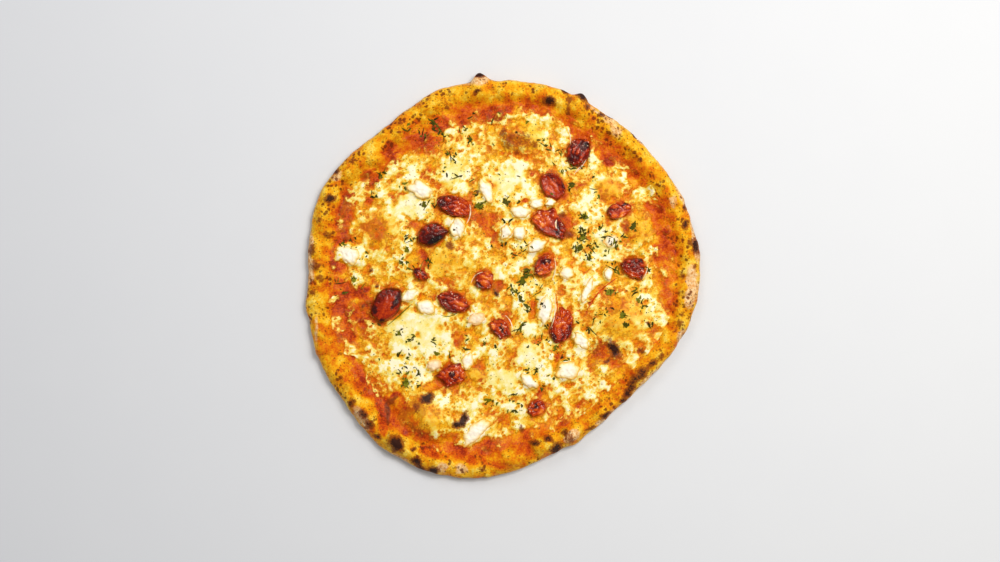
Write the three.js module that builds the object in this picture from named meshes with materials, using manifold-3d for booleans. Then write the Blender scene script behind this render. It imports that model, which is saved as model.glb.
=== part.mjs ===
// A thin round pizza, baked in a very hot oven: an uneven dough base with a low blistered rim, a thin
// layer of tomato sauce, a blanket of melted cheese with chopped herb leaves on it, roasted cherry
// tomato halves and lumps of soft white cheese. Millimetres, +Z up, standing on z = 0, with the
// origin under the middle of the pizza. +Y is the far edge.
import * as THREE from "three";
import { ImprovedNoise } from "three/addons/math/ImprovedNoise.js";
import { mergeVertices } from "three/addons/utils/BufferGeometryUtils.js";
import Module from "manifold-3d";

const wasm = await Module();
wasm.setup();

// ---- Driving sizes ----

// How far the edge of the dough lies from the middle, every 12 degrees anticlockwise from +X.
const edgeRadii = [
  150, 149, 149, 146.5, 146, 146, 148, 149, 148, 150, 146, 145, 149.5, 153, 151,
  149, 152, 154.5, 155, 158, 160.5, 159.5, 155.5, 147.5, 140, 136.5, 133.5, 136, 142, 147.5,
];
const dough = {
  base: 3.4, // thickness under the toppings
  baseWave: 0.5, // how unevenly the base rises, over about waveLength
  waveLength: 34,
  rimWidth: 23, // from the edge to where the rim has sunk to the base
  rimTop: 12.5, // height of the rim
  rimTopWave: 1.8,
  crestInset: 8.5, // from the edge to the top of the rim
  widest: 4.6, // height at which the rim is widest
  footInset: 8, // from the edge to where the dough meets what it lies on
};
const sauce = { thickness: 0.9, edgeShare: 0.895 }; // of the dough's radius
const cheese = {
  thickness: 2.3,
  lumpiness: 0.8,
  lumpLength: 15,
  edgeShares: [0.78, 0.85, 0.8, 0.79, 0.78, 0.83, 0.8, 0.83, 0.85, 0.81, 0.85, 0.85], // every 30 degrees
  edgeThickness: 1.1,
  edgeSlope: 0.08, // of the cheese's radius, over which it thins to its edge
};
const gap = 0.3; // between pieces that lie on each other
const noiseLayers = { base: 1.3, rim: 7.7, cheese: 2.5 };

// How finely the surfaces are divided.
const innerRings = 10; // of the layers under the cheese
const cheeseRings = 17; // of the cheese's own top
const sauceEdgePoints = 96;
const rimPoints = 132;
const rimShares = {
  outward: [1, 0.92, 0.72, 0.35], // from the top of the rim to the edge
  inward: [0.15, 0.42], // from the top of the rim to where it has sunk to the base
};
const lowerSide = [
  { inset: 0.5, height: 0.13 }, // shares of footInset and of widest
  { inset: 0.14, height: 0.5 },
];
const flatRings = [
  { points: 6, share: 0.3 }, // of the foot's distance from the middle
  { points: 36, share: 0.7 },
];
const groundDepth = 20; // of the shape that cuts the toppings off underneath
const weldDistance = 1e-3;

// Bubbles under the toppings: middle, half sizes, height, turn in degrees.
const bubbles = [
  { x: -58, y: -111, long: 20, wide: 16, rise: 9.5, turn: -20 },
  { x: 14, y: 105, long: 15, wide: 11, rise: 5.5, turn: -10 },
  { x: 92, y: -32, long: 21, wide: 18, rise: 6.0, turn: 60 },
  { x: 104, y: 32, long: 11, wide: 10, rise: 4.0, turn: 0 },
  { x: -91, y: 31, long: 15, wide: 11, rise: 3.0, turn: 15 },
  { x: -32, y: 12, long: 17, wide: 12, rise: 2.2, turn: 0 },
  { x: 3, y: -55, long: 11, wide: 9, rise: 1.6, turn: 0 },
];
// Blisters of the rim: direction in degrees, distance in from the edge, half size, height.
const blisters = [
  { at: 126, inset: 15, size: 9, rise: 2.0 },
  { at: 140, inset: 15, size: 10, rise: 4.0 },
  { at: 114, inset: 8, size: 9, rise: 3.0 },
  { at: 97, inset: 5, size: 7, rise: 3.0 },
  { at: 75, inset: 11, size: 7, rise: 2.6 },
  { at: 65, inset: 6, size: 8, rise: 1.8 },
  { at: 40, inset: 12, size: 10, rise: 2.2 },
  { at: 12, inset: 7, size: 9, rise: 1.8 },
  { at: 352, inset: 7, size: 10, rise: 1.5 },
  { at: 323, inset: 7, size: 9, rise: 2.4 },
  { at: 306, inset: 7, size: 8, rise: 2.0 },
  { at: 293, inset: 6, size: 8, rise: 3.6 },
  { at: 283, inset: 13, size: 11, rise: 4.6 },
  { at: 271, inset: 12, size: 9, rise: 3.0 },
  { at: 251, inset: 7, size: 8, rise: 2.2 },
  { at: 245, inset: 8, size: 7, rise: 2.6 },
  { at: 237, inset: 10, size: 9, rise: 5.0 },
  { at: 226, inset: 8, size: 10, rise: 4.4 },
  { at: 216, inset: 9, size: 9, rise: 2.4 },
  { at: 196, inset: 10, size: 10, rise: 2.0 },
  { at: 176, inset: 8, size: 9, rise: 1.8 },
  { at: 162, inset: 10, size: 9, rise: 2.8 },
];
// Where a blister pushes the edge out: direction, half width in degrees, distance.
const edgeBulges = [
  { at: 96.7, width: 2.4, out: 7.5 },
  { at: 66.2, width: 1.9, out: 4.0 },
  { at: 8, width: 4.0, out: 1.2 },
  { at: 188, width: 3.5, out: 1.5 },
  { at: 293.5, width: 3.0, out: 1.8 },
  { at: 233, width: 3.0, out: 1.4 },
];

// Roasted cherry tomato halves: middle, full sizes, height, turn, and how far a cut face is hollowed.
const tomatoes = [
  { x: 57, y: 94, long: 20, wide: 16.5, tall: 6.5, turn: 65, hollow: 0 },
  { x: 38, y: 68, long: 24, wide: 17, tall: 5.6, turn: -52, hollow: 0.45 },
  { x: -37, y: 53, long: 24, wide: 15, tall: 5.8, turn: -17, hollow: 0.3 },
  { x: -54, y: 31, long: 22, wide: 16.5, tall: 6.8, turn: 20, hollow: 0 },
  { x: 88, y: 49, long: 19, wide: 12.5, tall: 5.2, turn: 12, hollow: 0.25 },
  { x: 36, y: 39, long: 29, wide: 19, tall: 5.4, turn: -28, hollow: 0.3 },
  { x: 32, y: 8, long: 17.5, wide: 14, tall: 5.8, turn: 58, hollow: 0 },
  { x: 99.5, y: 5.5, long: 19, wide: 15.5, tall: 6.2, turn: -30, hollow: 0.15 },
  { x: -15, y: -4, long: 15, wide: 13, tall: 4.8, turn: -40, hollow: 0.2 },
  { x: -38, y: -20, long: 25, wide: 14.5, tall: 5.6, turn: -22, hollow: 0.25 },
  { x: -88.5, y: -22, long: 27, wide: 18.5, tall: 7.2, turn: 58, hollow: 0 },
  { x: -63, y: 1, long: 11, wide: 8, tall: 3.4, turn: -38, hollow: 0 },
  { x: -2, y: -40, long: 16, wide: 12, tall: 4.6, turn: -45, hollow: 0.3 },
  { x: 45, y: -39, long: 23, wide: 17, tall: 6.0, turn: 72, hollow: 0.4 },
  { x: -39, y: -75.5, long: 18, wide: 15, tall: 5.4, turn: 20, hollow: 0.1 },
  { x: 25.5, y: -100.5, long: 14, wide: 11.5, tall: 4.4, turn: 35, hollow: 0.2 },
];
// Lumps of soft white cheese: middle, full sizes, height, turn.
const whiteLumps = [
  { x: -63, y: 65.5, long: 18, wide: 11, tall: 3.6, turn: -24 },
  { x: -35, y: 35, long: 14, wide: 11, tall: 4.2, turn: -75 },
  { x: -13, y: 64, long: 19, wide: 8.5, tall: 3.0, turn: -66 },
  { x: 13, y: 48.5, long: 16, wide: 10, tall: 3.6, turn: -6 },
  { x: 25.5, y: 54.5, long: 10.5, wide: 8.5, tall: 3.4, turn: 10 },
  { x: 36, y: 55.5, long: 7.5, wide: 6, tall: 2.8, turn: 30 },
  { x: 2, y: 33, long: 11.5, wide: 8.5, tall: 3.0, turn: 75 },
  { x: 13, y: 32.5, long: 12, wide: 10.5, tall: 3.6, turn: 50 },
  { x: 25, y: 22.5, long: 15, wide: 10.5, tall: 3.2, turn: 30 },
  { x: -117.5, y: 16, long: 20, wide: 13, tall: 4.6, turn: -22 },
  { x: 32, y: -26.5, long: 23, wide: 12, tall: 3.8, turn: 82 },
  { x: -58.5, y: -24, long: 14, wide: 11.5, tall: 3.4, turn: -20 },
  { x: -71, y: -15, long: 14, wide: 9, tall: 2.8, turn: 32 },
  { x: -20, y: -33, long: 13, wide: 9, tall: 2.4, turn: 15 },
  { x: 59, y: -50, long: 14, wide: 11, tall: 3.4, turn: -50 },
  { x: 50, y: -72.5, long: 19, wide: 13.5, tall: 4.0, turn: 15 },
  { x: 20, y: -80, long: 15, wide: 9.5, tall: 3.4, turn: -42 },
  { x: -52, y: -68, long: 12, wide: 9, tall: 2.8, turn: 10 },
  { x: -27, y: -64.5, long: 12, wide: 9.5, tall: 3.0, turn: 60 },
  { x: -20.5, y: -118.5, long: 25, wide: 13, tall: 3.8, turn: 42 },
  { x: 64, y: -11, long: 19, wide: 7, tall: 2.8, turn: 68 },
  { x: 80, y: 1, long: 10, wide: 8, tall: 3.4, turn: 80 },
  { x: 49, y: 2, long: 11, wide: 10, tall: 2.8, turn: 0 },
  { x: 82, y: 26.5, long: 12, wide: 10, tall: 2.8, turn: 20 },
];
const sunkShare = 0.12; // of a topping's height that has sunk into the cheese
const dents = { perRadius: 1.7, layerStep: 5.3, hollowWidth: 0.55 };

// The larger pieces of chopped herb leaf: middle, full sizes, turn.
const leaves = [
  { x: -61, y: 54.5, long: 6.5, wide: 4, turn: 60 },
  { x: 2.5, y: 56.5, long: 7, wide: 5, turn: -62 },
  { x: 99, y: 37.5, long: 7, wide: 3.6, turn: -45 },
  { x: 73.5, y: 36, long: 6, wide: 2.6, turn: 8 },
  { x: 15, y: -6, long: 10, wide: 5, turn: -62 },
  { x: 18.5, y: 1, long: 8, wide: 4.5, turn: 20 },
  { x: 8.5, y: -13, long: 8, wide: 3, turn: -55 },
  { x: 13.5, y: -18, long: 7, wide: 3.2, turn: 55 },
  { x: 18.5, y: -24, long: 8, wide: 2.6, turn: 48 },
  { x: 81, y: -13, long: 6.5, wide: 4.4, turn: 30 },
  { x: 91, y: -31, long: 6.5, wide: 5, turn: 35 },
  { x: 92.5, y: -38, long: 5, wide: 4.4, turn: 70 },
  { x: -52, y: -59.5, long: 8, wide: 3.2, turn: 14 },
  { x: -80, y: -44, long: 4.6, wide: 3, turn: 62 },
  { x: -11, y: -96, long: 8.5, wide: 5, turn: -52 },
  { x: 62, y: 45, long: 6.5, wide: 4, turn: 80 },
  { x: 60, y: 30, long: 7, wide: 4, turn: 62 },
  { x: 58.5, y: 21, long: 6, wide: 4, turn: -40 },
  { x: -26, y: 103, long: 5.5, wide: 4.4, turn: 30 },
  { x: 103.5, y: -19.5, long: 7, wide: 3, turn: 66 },
  { x: -113.5, y: -4, long: 8, wide: 2.8, turn: 84 },
  { x: -74, y: 20, long: 6, wide: 4, turn: -20 },
  { x: -74, y: -82, long: 7, wide: 4, turn: 25 },
  { x: 39.5, y: -54, long: 6.5, wide: 2.6, turn: -40 },
  { x: -18.5, y: 53, long: 7, wide: 5, turn: -55 },
  { x: 52, y: 67.5, long: 5.5, wide: 3.6, turn: -35 },
];
const leafShape = {
  outline: [[-1, 0], [-0.3, -1], [0.55, -0.7], [1, 0], [0.4, 1], [-0.5, 0.6]], // in half sizes
  thick: 0.9,
  sunkShare: 0.45,
  wave: 0.25,
  wavesPerMm: 0.3,
  slopeReach: 1.5, // from the leaf's middle to where the cheese's slope is taken
};

// ---- Shapes worked out from the sizes ----

const noise = new ImprovedNoise();
const wave = (x, y, length, layer) => noise.noise(x / length, y / length, layer);
const mix = (a, b, share) => a + (b - a) * share;
const degrees = (angle) => THREE.MathUtils.radToDeg(angle);
const radians = (angle) => THREE.MathUtils.degToRad(angle);
const easing = (share) => THREE.MathUtils.smoothstep(share, 0, 1);

// A smooth curve through values that are spread evenly round a full turn.
function smoothTurn(values, angle) {
  const step = 360 / values.length;
  const turn = THREE.MathUtils.euclideanModulo(degrees(angle), 360);
  const first = Math.floor(turn / step);
  const share = turn / step - first;
  const [p0, p1, p2, p3] = [-1, 0, 1, 2].map((k) => values[(first + k + values.length) % values.length]);
  const bend = share * (3 * (p1 - p2) + p3 - p0) + 2 * p0 - 5 * p1 + 4 * p2 - p3;
  return p1 + 0.5 * share * (p2 - p0 + share * bend);
}

// The dough's edge without and with the blisters that stick out of it: its distance from the middle.
const smoothEdgeAt = (angle) => smoothTurn(edgeRadii, angle);
function edgeAt(angle) {
  let radius = smoothEdgeAt(angle);
  for (const bulge of edgeBulges) {
    const away = THREE.MathUtils.euclideanModulo(degrees(angle) - bulge.at + 180, 360) - 180;
    radius += bulge.out * Math.exp(-((away / bulge.width) ** 2));
  }
  return radius;
}

const sauceEdgeAt = (angle) => smoothEdgeAt(angle) * sauce.edgeShare;
const cheeseEdgeAt = (angle) => smoothEdgeAt(angle) * smoothTurn(cheese.edgeShares, angle);

// A rounded mound whose height is 1 in its middle.
function mound(x, y, { x: midX, y: midY, long, wide, turn }) {
  const [cos, sin] = [Math.cos(radians(turn)), Math.sin(radians(turn))];
  const along = ((x - midX) * cos + (y - midY) * sin) / long;
  const across = ((y - midY) * cos - (x - midX) * sin) / wide;
  return Math.exp(-(along ** 2 + across ** 2));
}

// The dough's upper surface, from the middle out to its widest line.
function doughTop(x, y) {
  const angle = Math.atan2(y, x);
  const inset = smoothEdgeAt(angle) - Math.hypot(x, y);
  const base = dough.base + dough.baseWave * wave(x, y, dough.waveLength, noiseLayers.base);
  const crest = dough.rimTop + dough.rimTopWave * wave(x, y, dough.waveLength, noiseLayers.rim);
  let height;
  if (inset < dough.crestInset) {
    const outer = edgeAt(angle) - smoothEdgeAt(angle) + dough.crestInset;
    const outward = THREE.MathUtils.clamp((dough.crestInset - inset) / outer, 0, 1);
    height = mix(dough.widest, crest, Math.sqrt(1 - outward ** 2));
  } else {
    const inward = (inset - dough.crestInset) / (dough.rimWidth - dough.crestInset);
    height = mix(crest, base, easing(inward));
  }
  const free = easing((edgeAt(angle) - Math.hypot(x, y)) / dough.crestInset); // none at the widest line
  for (const bubble of bubbles) height += free * bubble.rise * mound(x, y, bubble);
  for (const blister of blisters) {
    const out = smoothEdgeAt(radians(blister.at)) - blister.inset;
    const place = new THREE.Vector2(out, 0).rotateAround(new THREE.Vector2(), radians(blister.at));
    const round = { x: place.x, y: place.y, long: blister.size, wide: blister.size, turn: 0 };
    height += free * blister.rise * mound(x, y, round);
  }
  return height;
}

function cheeseTop(x, y) {
  const angle = Math.atan2(y, x);
  const inside = 1 - Math.hypot(x, y) / cheeseEdgeAt(angle);
  const lumps = cheese.lumpiness * wave(x, y, cheese.lumpLength, noiseLayers.cheese);
  const full = easing(inside / cheese.edgeSlope);
  const thickness = mix(cheese.edgeThickness, cheese.thickness + lumps, full);
  return doughTop(x, y) + 2 * gap + sauce.thickness + thickness;
}

// One ring of points round the Z axis. radiusAt takes a direction, heightAt a place.
function ring(count, radiusAt, heightAt) {
  return Array.from({ length: count }, (_, i) => {
    const angle = (2 * Math.PI * i) / count;
    const [x, y] = [radiusAt(angle) * Math.cos(angle), radiusAt(angle) * Math.sin(angle)];
    return new THREE.Vector3(x, y, heightAt(x, y));
  });
}

// A closed surface through rings that run out along the underside and back in over the top. The
// first and the last ring are single points.
function surfaceThrough(rings) {
  const positions = rings.flat().flatMap((point) => point.toArray());
  const faces = [];
  let start = 0;
  for (let k = 0; k + 1 < rings.length; k++) {
    const [near, far] = [rings[k].length, rings[k + 1].length];
    const next = start + near;
    let [i, j] = [0, 0];
    const [nearSteps, farSteps] = [near > 1 ? near : 0, far > 1 ? far : 0];
    while (i < nearSteps || j < farSteps) {
      const lead = (j + 1) * nearSteps - (i + 1) * farSteps;
      const stepNear = i < nearSteps && (j === farSteps || lead > 0 || (lead === 0 && near > far));
      const [a, b] = [start + (i % near), next + (j % far)];
      if (stepNear) faces.push(a, start + (++i % near), b);
      else faces.push(a, next + (++j % far), b);
    }
    start = next;
  }
  const geometry = new THREE.BufferGeometry();
  geometry.setAttribute("position", new THREE.Float32BufferAttribute(positions, 3));
  return geometry.setIndex(faces);
}

// Rings of a disc from its middle outwards, count of them, out to edge.
function discRings(count, edge, heightAt) {
  const rings = [[new THREE.Vector3(0, 0, heightAt(0, 0))]];
  for (let k = 1; k <= count; k++) rings.push(ring(6 * k, (angle) => (edge(angle) * k) / count, heightAt));
  return rings;
}

// The rings that all layers under the cheese share, lifted off the dough.
function layerRings(lift) {
  const heightAt = (x, y) => doughTop(x, y) + lift;
  return [...discRings(innerRings, cheeseEdgeAt, heightAt), ring(sauceEdgePoints, sauceEdgeAt, heightAt)];
}

// The rim's rings, from the widest line inwards to the sauce.
function rimRings(lift) {
  const crestAt = (angle) => smoothEdgeAt(angle) - dough.crestInset;
  const outward = rimShares.outward.map((share) => (angle) => mix(crestAt(angle), edgeAt(angle), share));
  const inward = rimShares.inward.map(
    (share) => (angle) => crestAt(angle) - share * (dough.rimWidth - dough.crestInset),
  );
  const heightAt = (x, y) => doughTop(x, y) + lift;
  return [...outward, ...inward].map((radiusAt) => ring(rimPoints, radiusAt, heightAt));
}

// ---- Solids ----

function toSolid(geometry) {
  const bare = new THREE.BufferGeometry();
  bare.setAttribute("position", geometry.getAttribute("position"));
  bare.setIndex(geometry.index);
  const merged = mergeVertices(bare, weldDistance);
  return new wasm.Manifold(
    new wasm.Mesh({
      numProp: 3,
      vertProperties: merged.getAttribute("position").array,
      triVerts: new Uint32Array(merged.index.array),
    }),
  );
}

function toGeometry(solid) {
  const { numProp, numVert, vertProperties, triVerts } = solid.getMesh();
  const positions = new Float32Array(numVert * 3);
  for (let i = 0; i < numVert; i++) {
    positions.set(vertProperties.subarray(i * numProp, i * numProp + 3), i * 3);
  }
  const geometry = new THREE.BufferGeometry();
  geometry.setAttribute("position", new THREE.BufferAttribute(positions, 3));
  geometry.setIndex(new THREE.BufferAttribute(triVerts, 1));
  geometry.computeVertexNormals();
  return geometry;
}

const largestPiece = (solid) => solid.decompose().sort((a, b) => b.volume() - a.volume())[0];

function doughSurface() {
  const foot = (angle) => edgeAt(angle) - dough.footInset;
  const underside = flatRings.map(({ points, share }) =>
    ring(points, (angle) => foot(angle) * share, () => 0),
  );
  const side = lowerSide.map(({ inset, height }) =>
    ring(rimPoints, (angle) => edgeAt(angle) - dough.footInset * inset, () => dough.widest * height),
  );
  const below = [[new THREE.Vector3(0, 0, 0)], ...underside, ring(rimPoints, foot, () => 0), ...side];
  return surfaceThrough([...below, ...rimRings(0), ...layerRings(0).reverse()]);
}

function sauceSurface() {
  return surfaceThrough([...layerRings(gap), ...layerRings(gap + sauce.thickness).reverse()]);
}

function cheeseSurface() {
  const lift = 2 * gap + sauce.thickness;
  const underside = discRings(innerRings, cheeseEdgeAt, (x, y) => doughTop(x, y) + lift);
  const top = discRings(cheeseRings, cheeseEdgeAt, cheeseTop);
  return surfaceThrough([...underside, ...top.reverse()]);
}

// Everything up to a gap above the cheese, sauce and rim, which cuts the toppings off underneath.
function groundSurface() {
  const below = [[new THREE.Vector3(0, 0, -groundDepth)], ring(rimPoints, edgeAt, () => -groundDepth)];
  const top = discRings(cheeseRings, cheeseEdgeAt, (x, y) => cheeseTop(x, y) + gap);
  const overSauce = layerRings(2 * gap + sauce.thickness).pop();
  return surfaceThrough([...below, ...rimRings(gap), overSauce, ...top.reverse()]);
}

// A rounded piece lying on the cheese: dented by noise, hollowed on top where it is cut open.
function topping({ x, y, long, wide, tall, turn, hollow = 0 }, { detail, roughness }, index) {
  const geometry = mergeVertices(
    new THREE.BufferGeometry().setAttribute(
      "position",
      new THREE.IcosahedronGeometry(1, detail).getAttribute("position"),
    ),
  );
  const places = geometry.getAttribute("position");
  const point = new THREE.Vector3();
  for (let i = 0; i < places.count; i++) {
    point.fromBufferAttribute(places, i);
    const across = Math.hypot(point.x, point.y);
    const dent = wave(point.x, point.y, 1 / dents.perRadius, point.z + index * dents.layerStep);
    point.multiplyScalar(1 + roughness * dent);
    if (point.z > 0) point.z -= hollow * Math.exp(-((across / dents.hollowWidth) ** 2));
    places.setXYZ(i, (point.x * long) / 2, (point.y * wide) / 2, point.z * tall);
  }
  geometry.rotateZ(radians(turn));
  geometry.translate(x, y, cheeseTop(x, y) - sunkShare * tall);
  return toSolid(geometry);
}

// A chopped leaf: a thin pointed plate, waved along its length, whose two faces match.
function leafSolid({ x, y, long, wide, turn }) {
  const { outline, thick, sunkShare, wave: waveHeight, wavesPerMm, slopeReach: reach } = leafShape;
  const corners = outline.map(
    ([along, across]) => new THREE.Vector2((along * long) / 2, (across * wide) / 2),
  );
  const plate = { depth: thick, bevelEnabled: false };
  const geometry = new THREE.ExtrudeGeometry(new THREE.Shape(corners), plate);
  const places = geometry.getAttribute("position");
  for (let i = 0; i < places.count; i++) {
    const bend = waveHeight * Math.sin(2 * Math.PI * wavesPerMm * places.getX(i));
    places.setZ(i, places.getZ(i) + bend);
  }
  const slope = new THREE.Vector3(
    cheeseTop(x - reach, y) - cheeseTop(x + reach, y),
    cheeseTop(x, y - reach) - cheeseTop(x, y + reach),
    2 * reach,
  ).normalize();
  geometry.rotateZ(radians(turn));
  geometry.applyQuaternion(new THREE.Quaternion().setFromUnitVectors(new THREE.Vector3(0, 0, 1), slope));
  geometry.translate(x, y, cheeseTop(x, y) - sunkShare * thick);
  return toSolid(geometry);
}

// ---- The pizza ----

const finishes = {
  dough: new THREE.MeshStandardMaterial({ color: 0xd98a2e, roughness: 0.75, metalness: 0 }),
  sauce: new THREE.MeshStandardMaterial({ color: 0xc2410f, roughness: 0.35, metalness: 0 }),
  cheese: new THREE.MeshStandardMaterial({ color: 0xf6c95a, roughness: 0.4, metalness: 0 }),
  tomato: new THREE.MeshStandardMaterial({ color: 0x96200c, roughness: 0.25, metalness: 0 }),
  freshCheese: new THREE.MeshStandardMaterial({ color: 0xfaeedb, roughness: 0.5, metalness: 0 }),
};

const tomatoKind = { detail: 2, roughness: 0.28, finish: finishes.tomato };
const lumpKind = { detail: 1, roughness: 0.35, finish: finishes.freshCheese };
const numbered = (word, index) => `${word}_${String(index + 1).padStart(2, "0")}`;

const pizza = new THREE.Group();
function addPiece(name, geometry, finish) {
  const mesh = new THREE.Mesh(geometry, finish);
  mesh.name = name;
  pizza.add(mesh);
}

const ground = toSolid(groundSurface());
const meltedCheese = leaves.reduce((whole, place) => whole.add(leafSolid(place)), toSolid(cheeseSurface()));
addPiece("dough_base", doughSurface(), finishes.dough);
addPiece("tomato_sauce", sauceSurface(), finishes.sauce);
addPiece("melted_cheese", toGeometry(largestPiece(meltedCheese)), finishes.cheese);

const toppings = [
  ...tomatoes.map((size, i) => ({ size, kind: tomatoKind, name: numbered("tomato", i), index: i })),
  ...whiteLumps.map((size, i) => ({ size, kind: lumpKind, name: numbered("fresh_cheese", i), index: -i })),
];
const cutters = [];
for (const { size, kind, name, index } of toppings) {
  const grown = { ...size, long: size.long + 2 * gap, wide: size.wide + 2 * gap, tall: size.tall + gap };
  const touching = cutters.filter(
    ({ size: other }) => Math.hypot(size.x - other.x, size.y - other.y) < (size.long + other.long) / 2,
  );
  const whole = topping(size, kind, index).subtract(ground);
  const solid = touching.reduce((rest, { cutter }) => rest.subtract(cutter), whole);
  addPiece(name, toGeometry(largestPiece(solid)), kind.finish);
  cutters.push({ size, cutter: topping(grown, kind, index) });
}

// The origin goes under the middle of the pizza's own box.
const middle = new THREE.Box3().setFromObject(pizza).getCenter(new THREE.Vector3());
pizza.position.set(-middle.x, -middle.y, 0);

export default pizza;
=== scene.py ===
import math
import random

import bpy
import numpy as np
from mathutils import Matrix, Vector, noise
from mathutils.bvhtree import BVHTree


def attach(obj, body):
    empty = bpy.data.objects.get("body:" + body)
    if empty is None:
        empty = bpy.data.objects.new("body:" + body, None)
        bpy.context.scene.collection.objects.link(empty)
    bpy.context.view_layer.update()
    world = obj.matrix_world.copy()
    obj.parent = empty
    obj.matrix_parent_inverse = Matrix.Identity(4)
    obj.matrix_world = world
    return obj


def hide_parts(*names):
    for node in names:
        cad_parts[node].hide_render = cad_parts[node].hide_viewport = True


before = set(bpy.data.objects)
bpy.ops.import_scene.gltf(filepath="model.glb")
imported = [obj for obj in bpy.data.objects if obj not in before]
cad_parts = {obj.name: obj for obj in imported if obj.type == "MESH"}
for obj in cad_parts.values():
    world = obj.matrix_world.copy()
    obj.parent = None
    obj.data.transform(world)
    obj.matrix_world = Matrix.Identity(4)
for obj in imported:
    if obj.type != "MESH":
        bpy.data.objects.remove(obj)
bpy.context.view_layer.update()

# Places are in millimetres on the pizza as seen from above, far edge up. The frame's origin is
# under the middle of the model's box, a little aside from the middle of the pizza.
planShift = np.array([0.41, 0.95, 0.0])
mm = 0.001

bpy.context.scene.view_settings.view_transform = "Standard"


# Helpers for meshes

def pick(*pieces):
    bpy.ops.object.select_all(action="DESELECT")
    for piece in pieces:
        piece.select_set(True)
    bpy.context.view_layer.objects.active = pieces[0]


def readPlaces(piece):
    places = np.empty(len(piece.data.vertices) * 3)
    piece.data.vertices.foreach_get("co", places)
    return places.reshape(-1, 3)


def readPlan(piece):
    return (readPlaces(piece) / mm - planShift).T.copy()


def writePlan(piece, plan):
    places = (np.array(plan).T + planShift) * mm
    piece.data.vertices.foreach_set("co", places.ravel())
    piece.data.update()


def paint(piece, name, values):
    layer = piece.data.attributes.new(name, "FLOAT", "POINT")
    layer.data.foreach_set("value", np.asarray(values, dtype=np.float32))


def applyModifier(piece, kind, **settings):
    pick(piece)
    modifier = piece.modifiers.new(kind.title(), kind)
    for key, value in settings.items():
        setattr(modifier, key, value)
    bpy.ops.object.modifier_apply(modifier=modifier.name)


def closeMesh(piece):
    pick(piece)
    bpy.ops.object.mode_set(mode="EDIT")
    bpy.ops.mesh.select_all(action="SELECT")
    bpy.ops.mesh.remove_doubles(threshold=0.00001)
    bpy.ops.mesh.normals_make_consistent(inside=False)
    bpy.ops.object.mode_set(mode="OBJECT")
    bpy.ops.object.shade_smooth()


def finishPiece(piece, name, look, node):
    piece.name = name
    piece.data.name = name
    piece.data.materials.clear()
    piece.data.materials.append(look.material)
    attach(piece, "root")
    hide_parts(node)


def treeOf(piece):
    return BVHTree.FromObject(piece, bpy.context.evaluated_depsgraph_get())


def seat(trees, x, y):  # the highest point of some surfaces at a place, and its normal
    start = Vector(((x + planShift[0]) * mm, (y + planShift[1]) * mm, 1))
    best, slope = 0.0, Vector((0, 0, 1))
    for tree in trees:
        hit, normal = tree.ray_cast(start, Vector((0, 0, -1)))[:2]
        if hit is not None and hit.z > best:
            best, slope = hit.z, normal
    return Vector((start.x, start.y, best)), slope


def heightOn(trees, x, y):
    return np.array([seat(trees, a, b)[0].z / mm for a, b in zip(x, y)])


# Helpers for uneven surfaces; a layer is a slice of the noise, so that no two are alike

def ripple(x, y, size, layer):  # smooth noise, about -1 to 1
    return np.array([noise.noise((a, b, layer)) for a, b in zip(x / size, y / size)])


def ripples(x, y, parts):  # parts: (height, size, layer)
    return sum(height * ripple(x, y, size, layer) for height, size, layer in parts)


def fractal(x, y, size, layer, rough=0.6):  # noise of that size with three finer ones on top
    total, strength = 0 * x, 1.0
    for octave in range(4):
        total = total + strength * ripple(x, y, size / 2 ** octave, layer + 0.37 * octave)
        strength *= rough
    return total


def holeNear(x, y, size, layer):  # distance to the nearest of some scattered places
    return np.array([noise.voronoi((a, b, layer))[0][0] for a, b in zip(x / size, y / size)])


def warped(x, y, size, reach, layer):
    return x + reach * ripple(x, y, size, layer), y + reach * ripple(x, y, size, layer + 9.5)


def ease(values, low=0.0, high=1.0):
    share = np.clip((np.asarray(values) - low) / (high - low), 0, 1)
    return share * share * (3 - 2 * share)


def turned(x, y, turn=0):  # how far along and across a direction
    cos, sin = math.cos(math.radians(turn)), math.sin(math.radians(turn))
    return x * cos + y * sin, y * cos - x * sin


def roundTurn(values, x, y):  # a smooth curve through values spread round a full turn
    turn = np.degrees(np.arctan2(y, x)) % 360 / (360 / len(values))
    first = np.floor(turn).astype(int)
    share = turn - first
    p0, p1, p2, p3 = (np.take(values, (first + k) % len(values)) for k in (-1, 0, 1, 2))
    bend = share * (3 * (p1 - p2) + p3 - p0) + 2 * p0 - 5 * p1 + 4 * p2 - p3
    return p1 + 0.5 * share * (p2 - p0 + share * bend)


def bulged(reach, turn, bulges):  # bulges: (direction, how far out, half width in degrees)
    for at, out, width in bulges:
        away = (turn - at + 180) % 360 - 180
        reach = reach + out * np.exp(-((away / width) ** 2))
    return reach


# Strokes are painted one over another: {value: [(x, y, half length, half width, turn), ...]},
# where the turn is left out if it is nothing. The edge says how soft they are.
def dabOn(values, x, y, strokes, edge):
    for value, places in strokes.items():
        for midX, midY, long, wide, *turn in places:
            along, across = turned(x - midX, y - midY, *turn)
            cover = ease(1 + edge - np.hypot(along / long, across / wide), 0, 2 * edge)
            values = values + (value - values) * cover
    return values


# Helpers for looks

def tone(code):  # a colour as seen on screen
    parts = [int(code[i:i + 2], 16) / 255 for i in (0, 2, 4)]
    return tuple(p / 12.92 if p <= 0.04045 else ((p + 0.055) / 1.055) ** 2.4 for p in parts) + (1,)


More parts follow.
